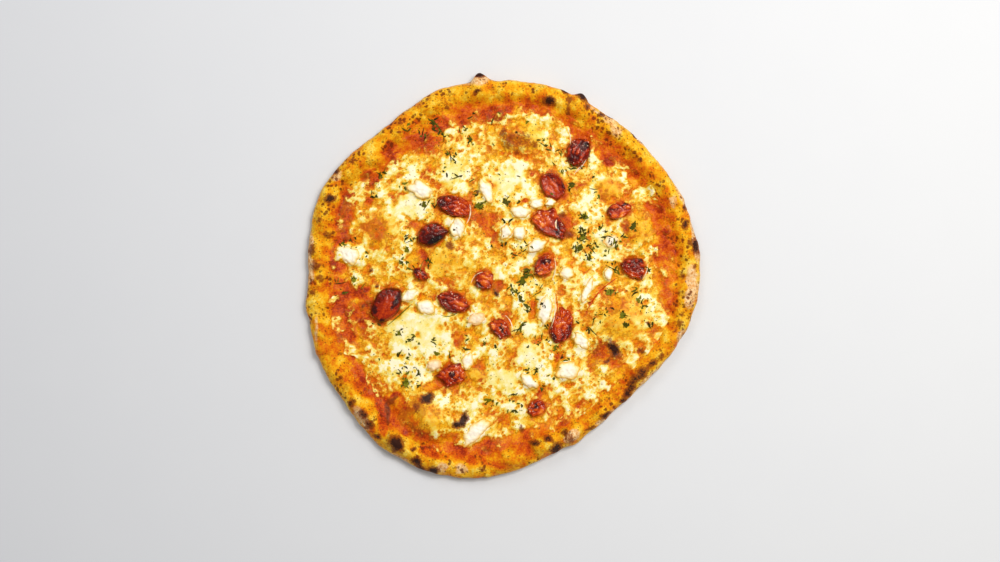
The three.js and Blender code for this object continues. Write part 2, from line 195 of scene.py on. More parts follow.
class Look:
    def __init__(self, name, rough, shine=0.5):
        self.material = bpy.data.materials.new(name)
        self.material.use_nodes = True
        self.tree = self.material.node_tree
        self.shader = self.tree.nodes["Principled BSDF"]
        self.place = self.tree.nodes.new("ShaderNodeTexCoord").outputs["Object"]
        self.feed(self.shader, {"Roughness": rough, "Specular IOR Level": shine})

    def feed(self, node, inputs):
        for key, value in inputs.items():
            socket = node.inputs[key]
            if isinstance(value, bpy.types.NodeSocket):
                self.tree.links.new(value, socket)
            else:
                socket.default_value = value

    def add(self, kind, inputs, **settings):
        node = self.tree.nodes.new("ShaderNode" + kind)
        for key, value in settings.items():
            setattr(node, key, value)
        self.feed(node, inputs)
        return node

    def painted(self, name):
        return self.add("Attribute", {}, attribute_name=name).outputs["Fac"]

    def grain(self, size, detail=2.0, rough=0.5):  # size of its patches in millimetres
        inputs = {"Vector": self.place, "Scale": 1 / (size * mm), "Detail": detail, "Roughness": rough}
        return self.add("TexNoise", inputs).outputs["Fac"]

    def times(self, first, second):
        return self.add("Math", {0: first, 1: second}, operation="MULTIPLY").outputs[0]

    def sum(self, *parts, start=0.0):  # each part is (socket, factor)
        total = start
        for socket, factor in parts:
            inputs = {0: socket, 1: factor, 2: total}
            total = self.add("Math", inputs, operation="MULTIPLY_ADD").outputs[0]
        return total

    def span(self, value, low, high, most=1.0):  # from 0 at low to the most at high
        inputs = {"Value": value, "From Min": low, "From Max": high, "To Min": 0.0, "To Max": most}
        return self.add("MapRange", inputs, interpolation_type="SMOOTHSTEP").outputs[0]

    def spots(self, size, radius, share):  # uneven spots, that share of them kept; radius in sizes
        shake = self.add("TexNoise", {"Vector": self.place, "Scale": 2 / (size * mm), "Detail": 1.0})
        inputs = {0: shake.outputs["Color"], 1: (0.6 * size * mm,) * 3, 2: self.place}
        moved = self.add("VectorMath", inputs, operation="MULTIPLY_ADD").outputs[0]
        cell = self.add("TexVoronoi", {"Vector": moved, "Scale": 1 / (size * mm)})
        near = self.span(cell.outputs["Distance"], 1.3 * radius, 0.7 * radius)
        chance = self.add("SeparateColor", {"Color": cell.outputs["Color"]}).outputs["Red"]
        kept = self.add("Math", {0: chance, 1: share}, operation="LESS_THAN").outputs[0]
        return self.times(near, kept)

    def patches(self, spots, size, low, high, detail=2):  # spots only where a broad grain is high
        return self.times(self.spots(*spots), self.span(self.grain(size, detail), low, high))

    def ramp(self, factor, *stops):
        node = self.add("ValToRGB", {"Fac": factor})
        while len(node.color_ramp.elements) < len(stops):
            node.color_ramp.elements.new(0.5)
        for element, (position, code) in zip(node.color_ramp.elements, stops):
            element.position = position
            element.color = tone(code)
        return node.outputs["Color"]

    def blend(self, factor, first, second):
        node = self.add("Mix", {}, data_type="RGBA")
        self.feed(node, {"Factor": factor})
        for key, value in (("A", first), ("B", second)):
            socket = [s for s in node.inputs if s.name == key and s.type == "RGBA"][0]
            if isinstance(value, str):
                socket.default_value = tone(value)
            else:
                self.tree.links.new(value, socket)
        return [s for s in node.outputs if s.type == "RGBA"][0]

    def over(self, tint, code, mask, low=0.0, high=1.0, most=1.0):  # that colour where the mask is high
        return self.blend(self.span(mask, low, high, most), tint, code)

    def finish(self, tint, *reliefs, depth=0.0):  # each relief is (socket, factor), depth in millimetres
        self.feed(self.shader, {"Base Color": tint})
        if reliefs:
            inputs = {"Height": self.sum(*reliefs), "Strength": 1.0, "Distance": depth * mm}
            self.feed(self.shader, {"Normal": self.add("Bump", inputs).outputs[0]})


# Camera, light and floor

cameraPlan = {"place": (-0.0021, -0.0034, 1.0647), "lens": 50, "sensor": 36}
bpy.ops.object.camera_add(location=cameraPlan["place"], rotation=(0, 0, 0))
camera = bpy.context.object
camera.data.lens = cameraPlan["lens"]
camera.data.sensor_width = cameraPlan["sensor"]
bpy.context.scene.camera = camera

skyPlan = {"colour": "fff8ec", "strength": 0.37}
lightPlan = {
    "main": {"place": (0.6, 0.45, 1.35), "size": 0.7, "power": 15.5, "colour": "fff4e4"},
    "side": {"place": (-0.5, 0.9, 1.1), "size": 0.5, "power": 3.6, "colour": "fff8ee"},
    "spark": {"place": (0.35, 0.5, 1.2), "size": 0.08, "power": 2.8, "colour": "fff8ee"},
}
world = bpy.data.worlds.new("studio")
bpy.context.scene.world = world
world.use_nodes = True
sky = world.node_tree.nodes["Background"]
sky.inputs["Color"].default_value = tone(skyPlan["colour"])
sky.inputs["Strength"].default_value = skyPlan["strength"]
for name, plan in lightPlan.items():
    aim = (-Vector(plan["place"])).to_track_quat("-Z", "Y").to_euler()
    bpy.ops.object.light_add(type="AREA", location=plan["place"], rotation=aim)
    lamp = bpy.context.object
    lamp.name = name + "Light"
    lamp.data.size = plan["size"]
    lamp.data.energy = plan["power"]
    lamp.data.color = tone(plan["colour"])[:3]

bpy.ops.mesh.primitive_plane_add(size=8)
floor = bpy.context.object
floor.name = "floor"
floorLook = Look("paleFloor", rough=0.9)
# painted light: the floor grows paler towards +X, where the main lamp stands, with a broad grain over it
acrossFloor = floorLook.add("SeparateXYZ", {"Vector": floorLook.place}).outputs["X"]
paintedLightAcross = floorLook.sum((floorLook.grain(60, 6, 0.6), 0.2), (acrossFloor, 0.9), start=0.4)
floorLook.finish(floorLook.ramp(paintedLightAcross, (0.1, "d4dceb"), (0.9, "dfe7f4")))
floor.data.materials.append(floorLook.material)
print("camera, light and floor")


# The pizza's outline, and what is painted on every layer

# How far the edge of the dough lies from the middle, every 12 degrees anticlockwise from +X.
edgeRadii = [
    150, 149, 149, 146.5, 146, 146, 148, 149, 148, 150, 146, 145, 149.5, 153, 151, 149, 152, 154.5, 155,
    158, 160.5, 159.5, 155.5, 147.5, 140, 136.5, 133.5, 136, 142, 147.5,
]
# Where a blister pushes the edge out: direction, how far, half width in degrees.
edgeBulges = [
    (96.7, 7.5, 2.4), (66.2, 4.0, 1.9), (8, 1.2, 4.0), (188, 1.5, 3.5), (293.5, 1.8, 3.0), (233, 1.4, 3.0),
]


def edgeAt(x, y):
    return roundTurn(edgeRadii, x, y)


def rimAt(x, y):  # the edge with its blisters
    return bulged(edgeAt(x, y), np.degrees(np.arctan2(y, x)), edgeBulges)


def shareOut(x, y):  # 0 in the middle, 1 at the edge
    return np.hypot(x, y) / edgeAt(x, y)


# The colour that oil and tomato give to dough and cheese: yellow, 0, through orange, 0.5, to red, 1.
tintStrokes = [
    # rim and sauce, far left
    {0.1: [(-56, 132, 9, 6, 20), (-48, 127, 7, 8), (-40, 138, 10, 6, 10), (-98, 98, 10, 5, 40),
        (-115, 80, 5, 6), (-117, 72, 7, 4), (-128, 64, 4, 5), (-137, 46, 7, 7), (-143, 37, 4, 5),
        (-143, -22, 4, 6)],
     0.42: [(-75, 120, 9, 4, 35), (-83, 112, 9, 4, 35), (-90, 107, 6, 3, 35), (-120, 84, 5, 3, 40),
        (-133, 37, 5, 4), (-133, 12, 6, 6), (-132, 2, 5, 6), (-140, -8, 6, 4), (-137, -40, 5, 5),
        (-140, -47, 5, 3), (-128, 70, 5, 2), (-127, 8, 4, 6)],
     0.25: [(-136, 25, 5, 7), (-137, -18, 5, 4), (-139, -31, 6, 5)]},
    {0.6: [(-66, 111, 10, 6, 20), (-58, 96, 9, 5), (-107, 86, 4, 5), (-125, 40, 4, 8), (-130, -26, 6, 5),
        (-128, -46, 6, 5), (-125, -3, 4, 5), (-105, -22, 6, 10), (-98, -38, 8, 4), (-100, -46, 6, 4)],
     0.84: [(-60, 102, 11, 5), (-87, 92, 5, 11, -10), (-85, 85, 5, 5), (-100, 77, 8, 6), (-103, 71, 5, 4),
        (-119, 57, 5, 7, -20), (-120, 45, 5, 10), (-122, 26, 5, 9), (-128, 14, 4, 9), (-121, -11, 11, 6),
        (-124, -22, 6, 5), (-116, -32, 9, 8), (-119, -46, 6, 7), (-110, -15, 6, 4)]},
    # rim and sauce, far side
    {0.15: [(-30, 134, 9, 3), (5, 141, 12, 3), (20, 143, 10, 5), (45, 133, 3, 8), (42, 124, 5, 4),
        (58, 128, 6, 4), (80, 117, 6, 4, -35), (85, 108, 6, 6), (100, 95, 8, 4, -40), (109, 89, 8, 4, -45),
        (117, 84, 6, 4, -45), (131, 62, 3.4, 11, 15), (133, 49, 3, 8)],
     0.42: [(10, 135, 14, 2.4), (28, 136, 5, 5), (60, 121, 6, 3), (56, 115, 5, 4), (86, 101, 10, 3, -25),
        (104, 81, 11, 5, -30), (121, 78, 5, 4), (128, 50, 4, 6)]},
    {0.55: [(-34, 127, 14, 4, 4), (4, 130, 16, 2.6, 8), (50, 119, 6, 5), (62, 108, 8, 5, -30),
        (73, 112, 6, 4), (106, 75, 10, 3.4, -20), (93, 88, 7, 6), (47, 112, 3, 5)],
     0.78: [(-44, 115, 12, 6), (-20, 119, 22, 4.6), (-30, 122, 8, 4), (-4, 121, 6, 4), (80, 93, 5, 9, -15),
        (85, 87, 7, 3, -20), (24, 131, 8, 2.4, -10)],
     0.64: [(120, 65, 7, 6), (118, 55, 8, 7), (122, 48, 6, 8), (54, 108, 4, 8), (76, 102, 5, 6)]},
    # rim and sauce, right
    {0.6: [(121, 39, 9, 10), (127, 28, 7, 10), (120, 17, 8, 9), (130, -14, 5, 11), (129, -28, 4, 6)],
     0.42: [(134, 20, 3.4, 10), (122, 4, 10, 8), (126, -6, 8, 6), (121, -22, 6, 6), (135, 5, 3, 9),
        (125, -52, 7, 4), (105, -57, 4, 4), (100, -67, 9, 3.4, 10), (92, -74, 7, 10, -10),
        (89, -87, 5, 7, -30), (80, -96, 7, 5), (65, -99, 6, 5), (58, -108, 4, 6), (52, -81, 4, 4)],
     0.3: [(129, -39, 5, 6), (111, -50, 9, 4), (113, -62, 6, 4, 40), (70, -108, 8, 4, 20), (61, -112, 7, 4),
        (122, -45, 6, 4)]},
    # near side
    {0.52: [(0, -129, 13, 8), (-25, -139, 8, 6), (-45, -137, 8, 4, -20), (0, -141, 13, 5),
        (25, -119, 11, 5), (20, -134, 5, 5), (40, -121, 6, 4), (40, -112, 6, 4), (-5, -105, 6, 5),
        (35, -103, 8, 5), (-48, -123, 9, 5)],
     0.72: [(12, -128, 4, 6), (-15, -133, 8, 6), (-37, -130, 7, 7), (-37, -122, 7, 3), (0, -141, 2, 4),
        (-56, -134, 6, 3, -35), (-63, -120, 9, 4.4, -30), (-74, -114, 8, 5, -30), (17, -131, 3, 6)],
     0.12: [(-33, -147, 7, 7), (-45, -142, 7, 3, -15), (14, -111, 9, 5), (26, -107, 6, 4), (5, -116, 7, 3),
        (30, -128, 6, 3), (-62, -131, 9, 2, -38), (-70, -128, 5, 2.4, -30)]},
    # near left
    {0.25: [(-140, -60, 6, 7), (-130, -66, 9, 5), (-121, -73, 7, 7)],
     0.5: [(-128, -53, 9, 5), (-136, -55, 5, 4), (-114, -66, 6, 4), (-95, -83, 8, 4)],
     0.08: [(-118, -86, 8, 5, -20), (-108, -96, 9, 2.6, -42), (-98, -104, 5, 3, -45),
        (-95, -113, 3, 8, 5)]},
    # the strokes from x -92 to -77 redden the large blister's left side: painted shade over the sauce's edge
    {0.76: [(-110, -80, 8, 10), (-103, -90, 6, 6), (-99, -97, 6, 5), (-90, -106, 5.4, 10),
        (-92, -116, 6, 4), (-87, -100, 2.4, 9, 10)],
     0.55: [(-82, -103, 4, 9), (-77, -98, 4, 8)]},
    # under the cheese
    {0.62: [(-16, 39, 10, 6, -10), (-9, 28, 4, 8, 10), (-3, 22, 4, 4), (24, 76, 4, 4), (46, 37, 9, 9),
        (66, -20, 3, 4, 20), (60, -30, 3, 6, 25), (93, 37, 3.4, 6), (75, -58, 7, 7), (-42, -80, 12, 6),
        (-60, 7, 5, 7), (-57, 76, 5, 5), (-50, 68, 6, 4), (-36, -49, 7, 5), (-2, -34, 5, 4),
        (30, -86, 5, 4), (48, -61, 6, 3), (-30, 101, 4, 3)],
     0.42: [(-95, 36, 12, 7), (-100, 27, 7, 7), (58, 70, 6, 4, 40), (96, 62, 6, 4), (84, 57, 9, 3),
        (54, 11, 6, 5), (48, -13, 7, 4), (-5, -4, 5, 6), (95, 21, 5, 4), (12, 103, 12, 4), (12, 92, 14, 3),
        (6, 113, 5, 5), (5, -60, 7, 8), (80, -12, 10, 4), (-22, -70, 7, 3), (108, -46, 6, 3),
        (18, 55, 4, 4), (-80, 61, 10, 3, 20), (-68, 39, 9, 2.4, -25)],
     0.2: [(-45, 10, 14, 10), (-25, 25, 11, 7), (-86, 22, 7, 11), (82, 66, 8, 7), (50, 45, 6, 4),
        (-5, -23, 10, 6), (85, -25, 12, 8), (-60, -106, 12, 9), (20, 112, 14, 5, -10), (-96, -53, 10, 6),
        (-92, -70, 5, 10)],
     0.05: [(-20, 12, 8, 6), (-4, 15, 8, 6), (105, 34, 11, 13), (85, -44, 13, 5), (83, -75, 9, 6),
        (75, 2, 2.6, 4.4), (-45, 78, 8, 6), (-22, -76, 7, 4, -10), (-5, -75, 3, 3), (12, 66, 4, 4)]},
    # smaller places, far and left
    {0.86: [(-100, 75, 6, 7), (-87, 91, 4, 9, 10), (-62, 103, 9, 4), (-46, 114, 7, 4), (-10, 122, 9, 5),
        (-129, 15, 3, 8), (-121, 44, 4, 10), (-116, 55, 3, 4), (-123, -27, 5, 4), (-115, -33, 6, 5),
        (-107, -12, 6, 5), (-103, -21, 5, 8), (-97, -36, 7, 3), (-60, -2, 5, 2.4, -20)],
     0.7: [(-104, 82, 4, 4), (-72, 99, 6, 4), (-28, 119, 7, 4), (4, 127, 6, 2.6), (24, 130, 6, 3),
        (-104, 55, 3, 3), (-124, 7, 3, 4), (-106, -35, 4, 8), (-61, 14, 3.4, 6), (23, 76, 4, 5),
        (-12, 43, 9, 5), (-8, 32, 2.6, 7), (-3, 23, 3, 3), (46, 39, 6, 8), (-57, 77, 5, 4)],
     0.5: [(-79, 76.5, 2.6, 2.6), (-83, 60, 6, 2.6, 15), (-52, 69, 4, 4), (12, 103, 8, 5), (4, 108, 4, 6),
        (14, 93, 12, 2.6), (18, 56, 2.6, 2.6), (-3, -8, 4, 6), (4, -31, 4, 4), (-42, -7, 8, 5),
        (23, -27, 3, 6), (26, -37, 2, 6), (-33, -46, 5, 5), (48, -12, 6, 3), (56, 67, 3, 3)],
     0.25: [(-97, 86, 8, 7), (-17, 78, 4, 5), (1, 88, 4, 4), (-27, -14, 6, 4), (-4, -23, 9, 5),
        (-105, -6, 5, 4), (-86, 22, 6, 9)],
     0.08: [(-99, 97, 8, 4, 40), (-25, 137, 9, 4), (17, 113, 12, 5), (26, 104, 9, 4), (-143, -21, 4, 7),
        (-141, 37, 4, 5), (-46, 13, 8, 6), (-27, 27, 6, 4), (-8, 17, 9, 5), (-7, 4, 4, 4), (-85, -2, 10, 4),
        (-136, -30, 5, 7)]},
    # smaller places, near and right
    {0.84: [(77, 95, 4, 9, -15), (80, 87, 5, 3), (122, 50, 6, 5), (128, 27, 4, 12), (118, 17, 5, 6),
        (-109, -82, 6, 6), (-101, -95, 4, 5), (-92, -112, 4, 8), (-12, -130, 6, 5), (-33, -132, 5, 6),
        (65, -20, 2.6, 3), (-23, -71, 6, 1.6), (-57, -133, 7, 3, -35)],
     0.66: [(61, 106, 7, 4), (93, 85, 8, 4), (105, 78, 8, 3, -20), (120, 59, 4, 6), (124, 42, 5, 8),
        (93, 36, 3, 6), (127, -17, 5, 6), (74, -58, 5, 7), (82, -68, 6, 3), (45, -62, 7, 2, 10),
        (41, -70, 1.6, 7, 5), (28, -90, 2, 5), (38, -84, 4, 3), (-16, -79, 8, 2), (16, -124, 3, 7),
        (-112, -75, 6, 6), (-121, -60, 3, 4), (-5, -141, 3, 3), (88, -63, 5, 3)],
     0.48: [(55, 117, 5, 4), (87, 95, 7, 3), (97, 65, 5, 3), (75, 66, 3, 6), (97, 26, 4, 7),
        (118, 38, 4, 8), (58, 10, 3, 4), (61, -31, 4, 6), (75, -20, 5, 4), (112, -39, 5, 3),
        (105, -46, 5, 3), (106, -56, 2.6, 2), (95, -75, 5, 5), (92, -88, 4, 4), (64, -101, 5, 4),
        (55, -82, 5, 3), (43, -103, 5, 7), (-3, -104, 5, 3), (5, -113, 5, 2), (6, -65, 6, 4),
        (-40, -88, 8, 3), (-131, -53, 7, 5), (-101, -56, 6, 4)],
     0.3: [(88, 62, 8, 4), (117, 5, 5, 5), (114, 64, 6, 5), (6, -57, 6, 4), (93, -20, 7, 7),
        (70, -34, 8, 5), (84, -97, 5, 3), (-46, -126, 8, 5), (34, -116, 6, 4), (63, -67, 4, 4),
        (41, -124, 5, 5)],
     0.08: [(83, 112, 8, 5, -30), (100, 98, 7, 4, -40), (113, 88, 7, 4, -45), (127, 69, 3, 8, 20),
        (75, 117, 5, 4), (75, 8, 3, 5), (114, -14, 4, 5), (83, -74, 8, 4), (15, -112, 8, 4),
        (26, -109, 5, 3), (-22, -76, 6, 3.4), (137, -22, 4, 12, -5), (138, 4, 4, 8),
        (-97, -108, 2.4, 9, 10), (-106, -95, 8, 2.4, -40), (-70, -127, 8, 2, -38)]},
    # the large blister's left side, redder, and its foot: painted shade and a painted shadow line over the
    # sauce's edge there; and pale crust far left and on the right
    {0.84: [(-92, -108, 4, 14, 8), (-64, -119, 13, 3, -32)],
     0.62: [(-79, -104, 7, 13, 5), (-71, -113, 9, 5, -30)],
     0.42: [(-68, -104, 6, 9)],
     0.18: [(-60, -101, 6, 6), (-97, 86, 7, 6), (136, -24, 4, 8), (114, 65, 5, 4)]},
    # the first three are painted shadow: thin dark red lines along the large blister's left foot
    {1.0: [(-88, -103, 2, 7, 5), (-85, -95, 1.8, 4, -40), (-81, -91, 1.6, 3, -50), (-116, -14, 5, 5)]},
]
tintPlan = {
    "start": 0.22,
    "ring": 0.32,  # more where the sauce lies bare
    "broad": [(0.2, 14, 5.2)],
    "warp": (9, 3.5, 3.1),
    "edge": 0.5,
    "fine": 0.38,
    "toppingWarp": (4, 1.5, 8.1),
}
# Scorched places: from none, 0, through brown to black, 1.
burntStrokes = {
    1.0: [(-81, -127, 5.5, 4, -55), (60, 137, 4.5, 3, -30), (47, 140.5, 2.8, 1.6, -20),
        (84, -56, 5.5, 3.3, -55), (-58, -93, 4, 3, 10), (-30, -109, 4, 2.1, 70), (-34.5, -114, 3, 2.3, 30),
        (101, 107, 3, 1.4, -30), (82, 121, 2.5, 1.4, -20), (-18, 153, 3.2, 2)],
    0.9: [(35, 132, 3.6, 2.8), (-53, -148, 4, 2.4, 20), (-66, -141, 3, 2.8, -40), (40, -131, 4.2, 3, 50),
        (-131, 58, 3.4, 2.4, 10), (146, 22, 2.6, 5, 10), (-5, -14, 2.5, 1.2, -65), (111, -37, 2, 0.8, -15),
        (5, 101, 3, 4)],
    0.78: [(105, -74, 5, 3.2, 35), (99, -79, 3, 2.3, 40), (97, -85, 3.5, 2.3, 50), (94, -90, 2.5, 2.3),
        (91, -95, 2, 2), (113, -67, 3, 1.8, 40), (-62, -146, 3, 1.8, -30), (24, -127, 3, 1.7),
        (34, -124, 3, 2, -20), (-115, -97, 3, 2.4, 60), (-106, -105, 3, 2.8), (-101, -113, 2.4, 3, 30),
        (-95, -122, 2.4, 1.5), (-68, -132, 1.5, 1.2), (47, -119, 2, 1.9), (78, -106, 4, 1.8, 20),
        (-20, 139, 3, 1.3, 20), (75, 122, 1.8, 1.5), (64, 128, 2, 2.4), (104, 88, 1.8, 1.4),
        (138, 52, 1.7, 2), (138, 38, 1.7, 3), (-127, 79, 2.4, 1.8, 30), (-101, 4, 1.5, 0.8),
        (-96, -8, 1.2, 0.8), (-107, -24, 1.6, 0.8, 50), (80, -65, 2.5, 1.4, 45), (-20, 63, 1.4, 1.4)],
    0.6: [(120, -62, 2.5, 1.4, 45), (51, -124, 3, 2.4, 60), (66, -116, 4, 1.5, 10), (-134, 31, 2.4, 2),
        (-139, 42, 2, 1.4), (-145, 20, 2.4, 4), (-142, 8, 3.4, 3), (-139, -2, 2.2, 1.8),
        (-145, -13, 2, 1.4), (-114, 86, 1.5, 1.4), (-78, 115, 1.3, 1), (-79, 108, 1.5, 1),
        (50, 133, 2, 3, 20), (49, 126, 1.4, 3), (128, 75, 2.5, 1.4, -30), (141, 25, 1.4, 2),
        (146, 7, 1.5, 1.5), (136, 0, 1.2, 1.8), (134, -14, 1, 1.5), (135, -30, 1.2, 1),
        (134, -37, 1.9, 2.4), (131, -43, 1.2, 1), (-16, -147, 2.5, 1.2), (-40, -154, 2, 1),
        (14, 103, 5, 3.4), (24, 99, 2, 2), (10, 94, 1.5, 1.4), (0, 108, 2, 3), (-41, 23, 3, 1.8, -60),
        (14, -117, 1.4, 2.4), (58, -86, 1.5, 1, 15), (45, 46, 2.5, 2, 20), (50, 31, 3, 2.4),
        (-66, -100, 2, 3), (105, -57, 2, 2), (-43, 127, 1.5, 1)],
    0.3: [(72, -58, 5, 8), (-66, -117, 8, 4, -30), (-65, 128, 2, 2), (12, 102, 9, 6), (94, 36, 4, 4)],
    # painted shadow: a dark line along the large blister's left foot
    0.62: [(-88, -104, 1.5, 8, 5), (-84, -95, 1.3, 4, -45)],
}
burntPlan = {"warp": (4, 1.6, 13.1), "grow": 1.25, "edge": 0.8}


def tintAt(x, y):
    share = shareOut(x, y)
    ring = ease(share, 0.8, 0.86) * ease(share, 0.93, 0.89)
    values = tintPlan["start"] + tintPlan["ring"] * ring + ripples(x, y, tintPlan["broad"])
    x2, y2 = warped(x, y, *tintPlan["warp"])
    for strokes in tintStrokes:
        values = dabOn(values, x2, y2, strokes, tintPlan["edge"])
    values = values + tintPlan["fine"] * fractal(x, y, 7, 6.2)
    x3, y3 = warped(x, y, *tintPlan["toppingWarp"])
    values = dabRound(values, x3, y3, "fresh_cheese", 0.15, scale=1.3, edge=0.2)
    return np.clip(dabRound(values, x3, y3, "tomato", 0.76, scale=1.16, edge=0.3), 0, 1)


def scorch(x, y):
    x2, y2 = warped(x, y, *burntPlan["warp"])
    grow = burntPlan["grow"]
    larger = {value: [(a, b, grow * long, grow * wide, *turn) for a, b, long, wide, *turn in places]
              for value, places in burntStrokes.items()}
    return np.clip(dabOn(np.zeros(len(x)), x2, y2, larger, burntPlan["edge"]), 0, 1)


# Blisters: middle, radius and height.
blisters = [
    (-61, -106, 25, 4.5), (-22, -76, 8, 0.8), (105, 34, 11, 1.2), (12, 103, 13, 1), (80, 66, 8, 0.8),
    (-95, 88, 8, 2.2), (-117, 78, 7, 2), (-137, 45, 8, 2), (-142, 20, 7, 1.5), (-137, -20, 8, 1.6),
    (-139, -55, 7, 1.5), (-125, -76, 9, 1.5), (-105, -102, 8, 1.6), (-82, -128, 9, 2.2),
    (-48, -140, 8, 1.6), (-25, -141, 9, 2), (8, -137, 8, 2), (30, -128, 10, 2.4), (52, -122, 7, 1.6),
    (75, -104, 8, 1.4), (100, -80, 9, 1.8), (130, -50, 7, 1), (141, -12, 7, 1.2), (142, 18, 7, 1.4),
    (135, 55, 8, 1.2), (120, 78, 7, 1.2), (102, 98, 8, 1.6), (82, 112, 8, 1.4), (58, 128, 8, 1.8),
    (34, 138, 9, 1.6), (5, 139, 9, 1.8), (-24, 140, 9, 1.6), (-56, 131, 9, 1.8), (-76, 119, 7, 1.4),
]
blisterPlan = {"warp": (9, 2.5, 27.0), "roundness": 0.8}


def blisterLift(x, y):
    x2, y2 = warped(x, y, *blisterPlan["warp"])
    lift = 0 * x
    for midX, midY, radius, high in blisters:
        away = np.hypot(x2 - midX, y2 - midY) / radius
        lift = np.maximum(lift, high * np.clip(1 - away * away, 0, 1) ** blisterPlan["roundness"])
    return lift


# Toppings: where they lie comes from the frame

toppingShapes = {
    # Turn, how far the cut face has sunk in, and the outline's corners: direction, share out, half width.
    "tomato": [
        (65, 0.05, [(262, 0.12, 25), (43, 0.12, 18)]),
        (-52, 0.4, [(-75, 0.1, 16), (10, 0.05, 30)]),
        (-17, 0.25, [(-45, 0.12, 18), (152, 0.06, 25), (35, 0.08, 25)]),
        (20, 0.1, [(8, 0.22, 12), (215, 0.12, 18), (100, 0.05, 30)]),
        (12, 0.2, [(25, 0.14, 20), (190, -0.06, 25), (250, 0.08, 20)]),
        (-28, 0.25, [(178, 0.16, 15), (72, 0.4, 12), (-60, 0.28, 15), (20, -0.14, 25), (120, 0.1, 14)]),
        (58, 0.25, [(-130, 0.1, 20), (80, 0.04, 25)]),
        (-30, 0.15, [(45, 0.18, 18), (-62, 0.2, 14), (165, 0.14, 16), (100, -0.08, 20)]),
        (-40, 0.15, [(130, 0.2, 12), (38, 0.2, 14), (-48, 0.15, 14), (-140, 0.2, 14)]),
        (-22, 0.2, [(163, 0.1, 10), (-14, 0.18, 10), (-100, 0.06, 25), (60, 0.05, 25)]),
        (58, 0.08, [(-103, 0.14, 15), (40, 0.1, 16), (203, 0.14, 20), (120, 0.04, 25)]),
        (-38, 0.05, [(140, 0.2, 20), (-30, 0.3, 16), (60, -0.15, 25)]),
        (-45, 0.25, [(160, 0.2, 12), (-28, 0.25, 12), (-98, 0.25, 14), (70, 0.1, 20)]),
        (72, 0.2, [(98, 0.3, 12), (-120, 0.06, 25), (-50, 0.08, 25)]),
        (20, 0.1, [(182, 0.3, 11), (58, 0.28, 13), (-30, 0.22, 13), (-105, 0.25, 14), (120, -0.1, 15)]),
        (35, 0.15, [(95, 0.18, 14), (-10, 0.18, 14), (-110, 0.15, 15), (180, 0.05, 20)]),
    ],
    # Turn, how pink and melted it is, and the outline's corners.
    "fresh_cheese": [
        (-24, 0.0, [(195, 0.12, 18), (105, 0.08, 20), (265, 0.1, 20), (0, 0.08, 18)]),
        (-75, 0.0, [(60, 0.1, 18), (-70, 0.14, 16), (-120, 0.12, 14), (120, 0.08, 20)]),
        (-66, 0.1, [(38, 0.5, 14), (110, 0.1, 16)]),
        (-6, 0.2, [(0, 0.1, 14), (180, 0.08, 14), (60, -0.05, 20)]),
        (10, 0.1, [(45, 0.1, 16), (135, 0.1, 16), (-45, 0.1, 16), (-135, 0.1, 16)]),
        (30, 0.2, [(0, 0.15, 16), (200, 0.1, 20)]),
        (75, 0.2, [(100, 0.15, 16), (-20, 0.15, 18)]),
        (50, 0.2, [(60, 0.15, 20), (-100, 0.1, 20)]),
        (30, 0.1, [(20, 0.15, 16), (210, 0.15, 16), (110, 0.08, 16)]),
        (-22, 0.1, [(150, 0.12, 20), (-60, 0.15, 20), (240, 0.08, 16)]),
        (82, 0.0, [(84, 0.1, 12), (-98, 0.12, 12), (5, 0.12, 25)]),
        (-20, 0.1, [(150, 0.15, 16), (-25, 0.12, 16), (60, 0.1, 20), (-110, -0.08, 20)]),
        (32, 0.2, [(30, 0.15, 14), (210, 0.15, 14)]),
        (15, 0.9, [(40, 0.15, 20), (170, 0.15, 20), (-80, 0.15, 20)]),
        (-50, 0.1, [(120, 0.1, 16), (-50, 0.15, 16), (40, -0.15, 25)]),
        (15, 0.35, [(205, 0.22, 22), (60, 0.06, 20), (-60, 0.05, 20)]),
        (-42, 0.1, [(130, 0.12, 16), (-45, 0.15, 16), (45, -0.12, 25)]),
        (10, 0.9, [(160, 0.12, 20), (20, 0.1, 20)]),
        (60, 0.3, [(75, 0.2, 14), (-100, 0.2, 16), (160, 0.15, 16)]),
        (42, 0.25, [(68, 0.08, 12), (12, 0.12, 14), (200, 0.1, 14), (248, 0.1, 14)]),
        (68, 0.1, [(70, 0.12, 12), (-108, 0.12, 12)]),
        (80, 0.1, [(90, 0.12, 16), (-60, 0.12, 16)]),
        (0, 0.5, [(180, 0.2, 16), (20, 0.1, 16)]),
        (20, 0.6, [(60, 0.15, 20), (-100, 0.15, 20)]),
    ],
}


def nodeSpan(node, turn):  # middle, full sizes along and across the turn, lowest and highest point
    x, y, z = readPlan(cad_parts[node])
    along, across = turned(x, y, turn)
    middle = turned((along.max() + along.min()) / 2, (across.max() + across.min()) / 2, -turn)
    return middle, np.ptp(along), np.ptp(across), z.min(), z.max()


def dabRound(values, x, y, kind, value, scale, edge):  # one value on and round each topping of a kind
    spots = []
    for number, (turn, _, _) in enumerate(toppingShapes[kind], 1):
        middle, long, wide, _, _ = nodeSpan(f"{kind}_{number:02d}", turn)
        spots.append((*middle, long / 2 * scale, wide / 2 * scale, turn))
    return dabOn(values, x, y, {value: spots}, edge)


# Looks that the layers share

def oilTint(look):  # yellow, orange or red, with a fine grain
    worked = look.sum((look.painted("tint"), 0.55), (look.grain(1.3, 3, 0.65), 0.65),
                      (look.grain(4.5, 2), 0.25))
    return look.ramp(worked, (0.26, "f7dc68"), (0.38, "f5c634"), (0.5, "efae10"), (0.62, "e48c08"),
                     (0.74, "d86a06"), (0.86, "c84c0a"), (1.0, "94280a"))


def burnOver(look, tint):
    worked = look.sum((look.painted("burnt"), 1.0), (look.grain(1.5, 3, 0.7), 1.1))
    brown = look.over(tint, "84390f", worked, 0.66, 1.05, most=0.85)
    return look.over(brown, "2b1514", worked, 1.08, 1.4, most=0.95)


# The dough: a turned profile with a foot, a rim and a thin base

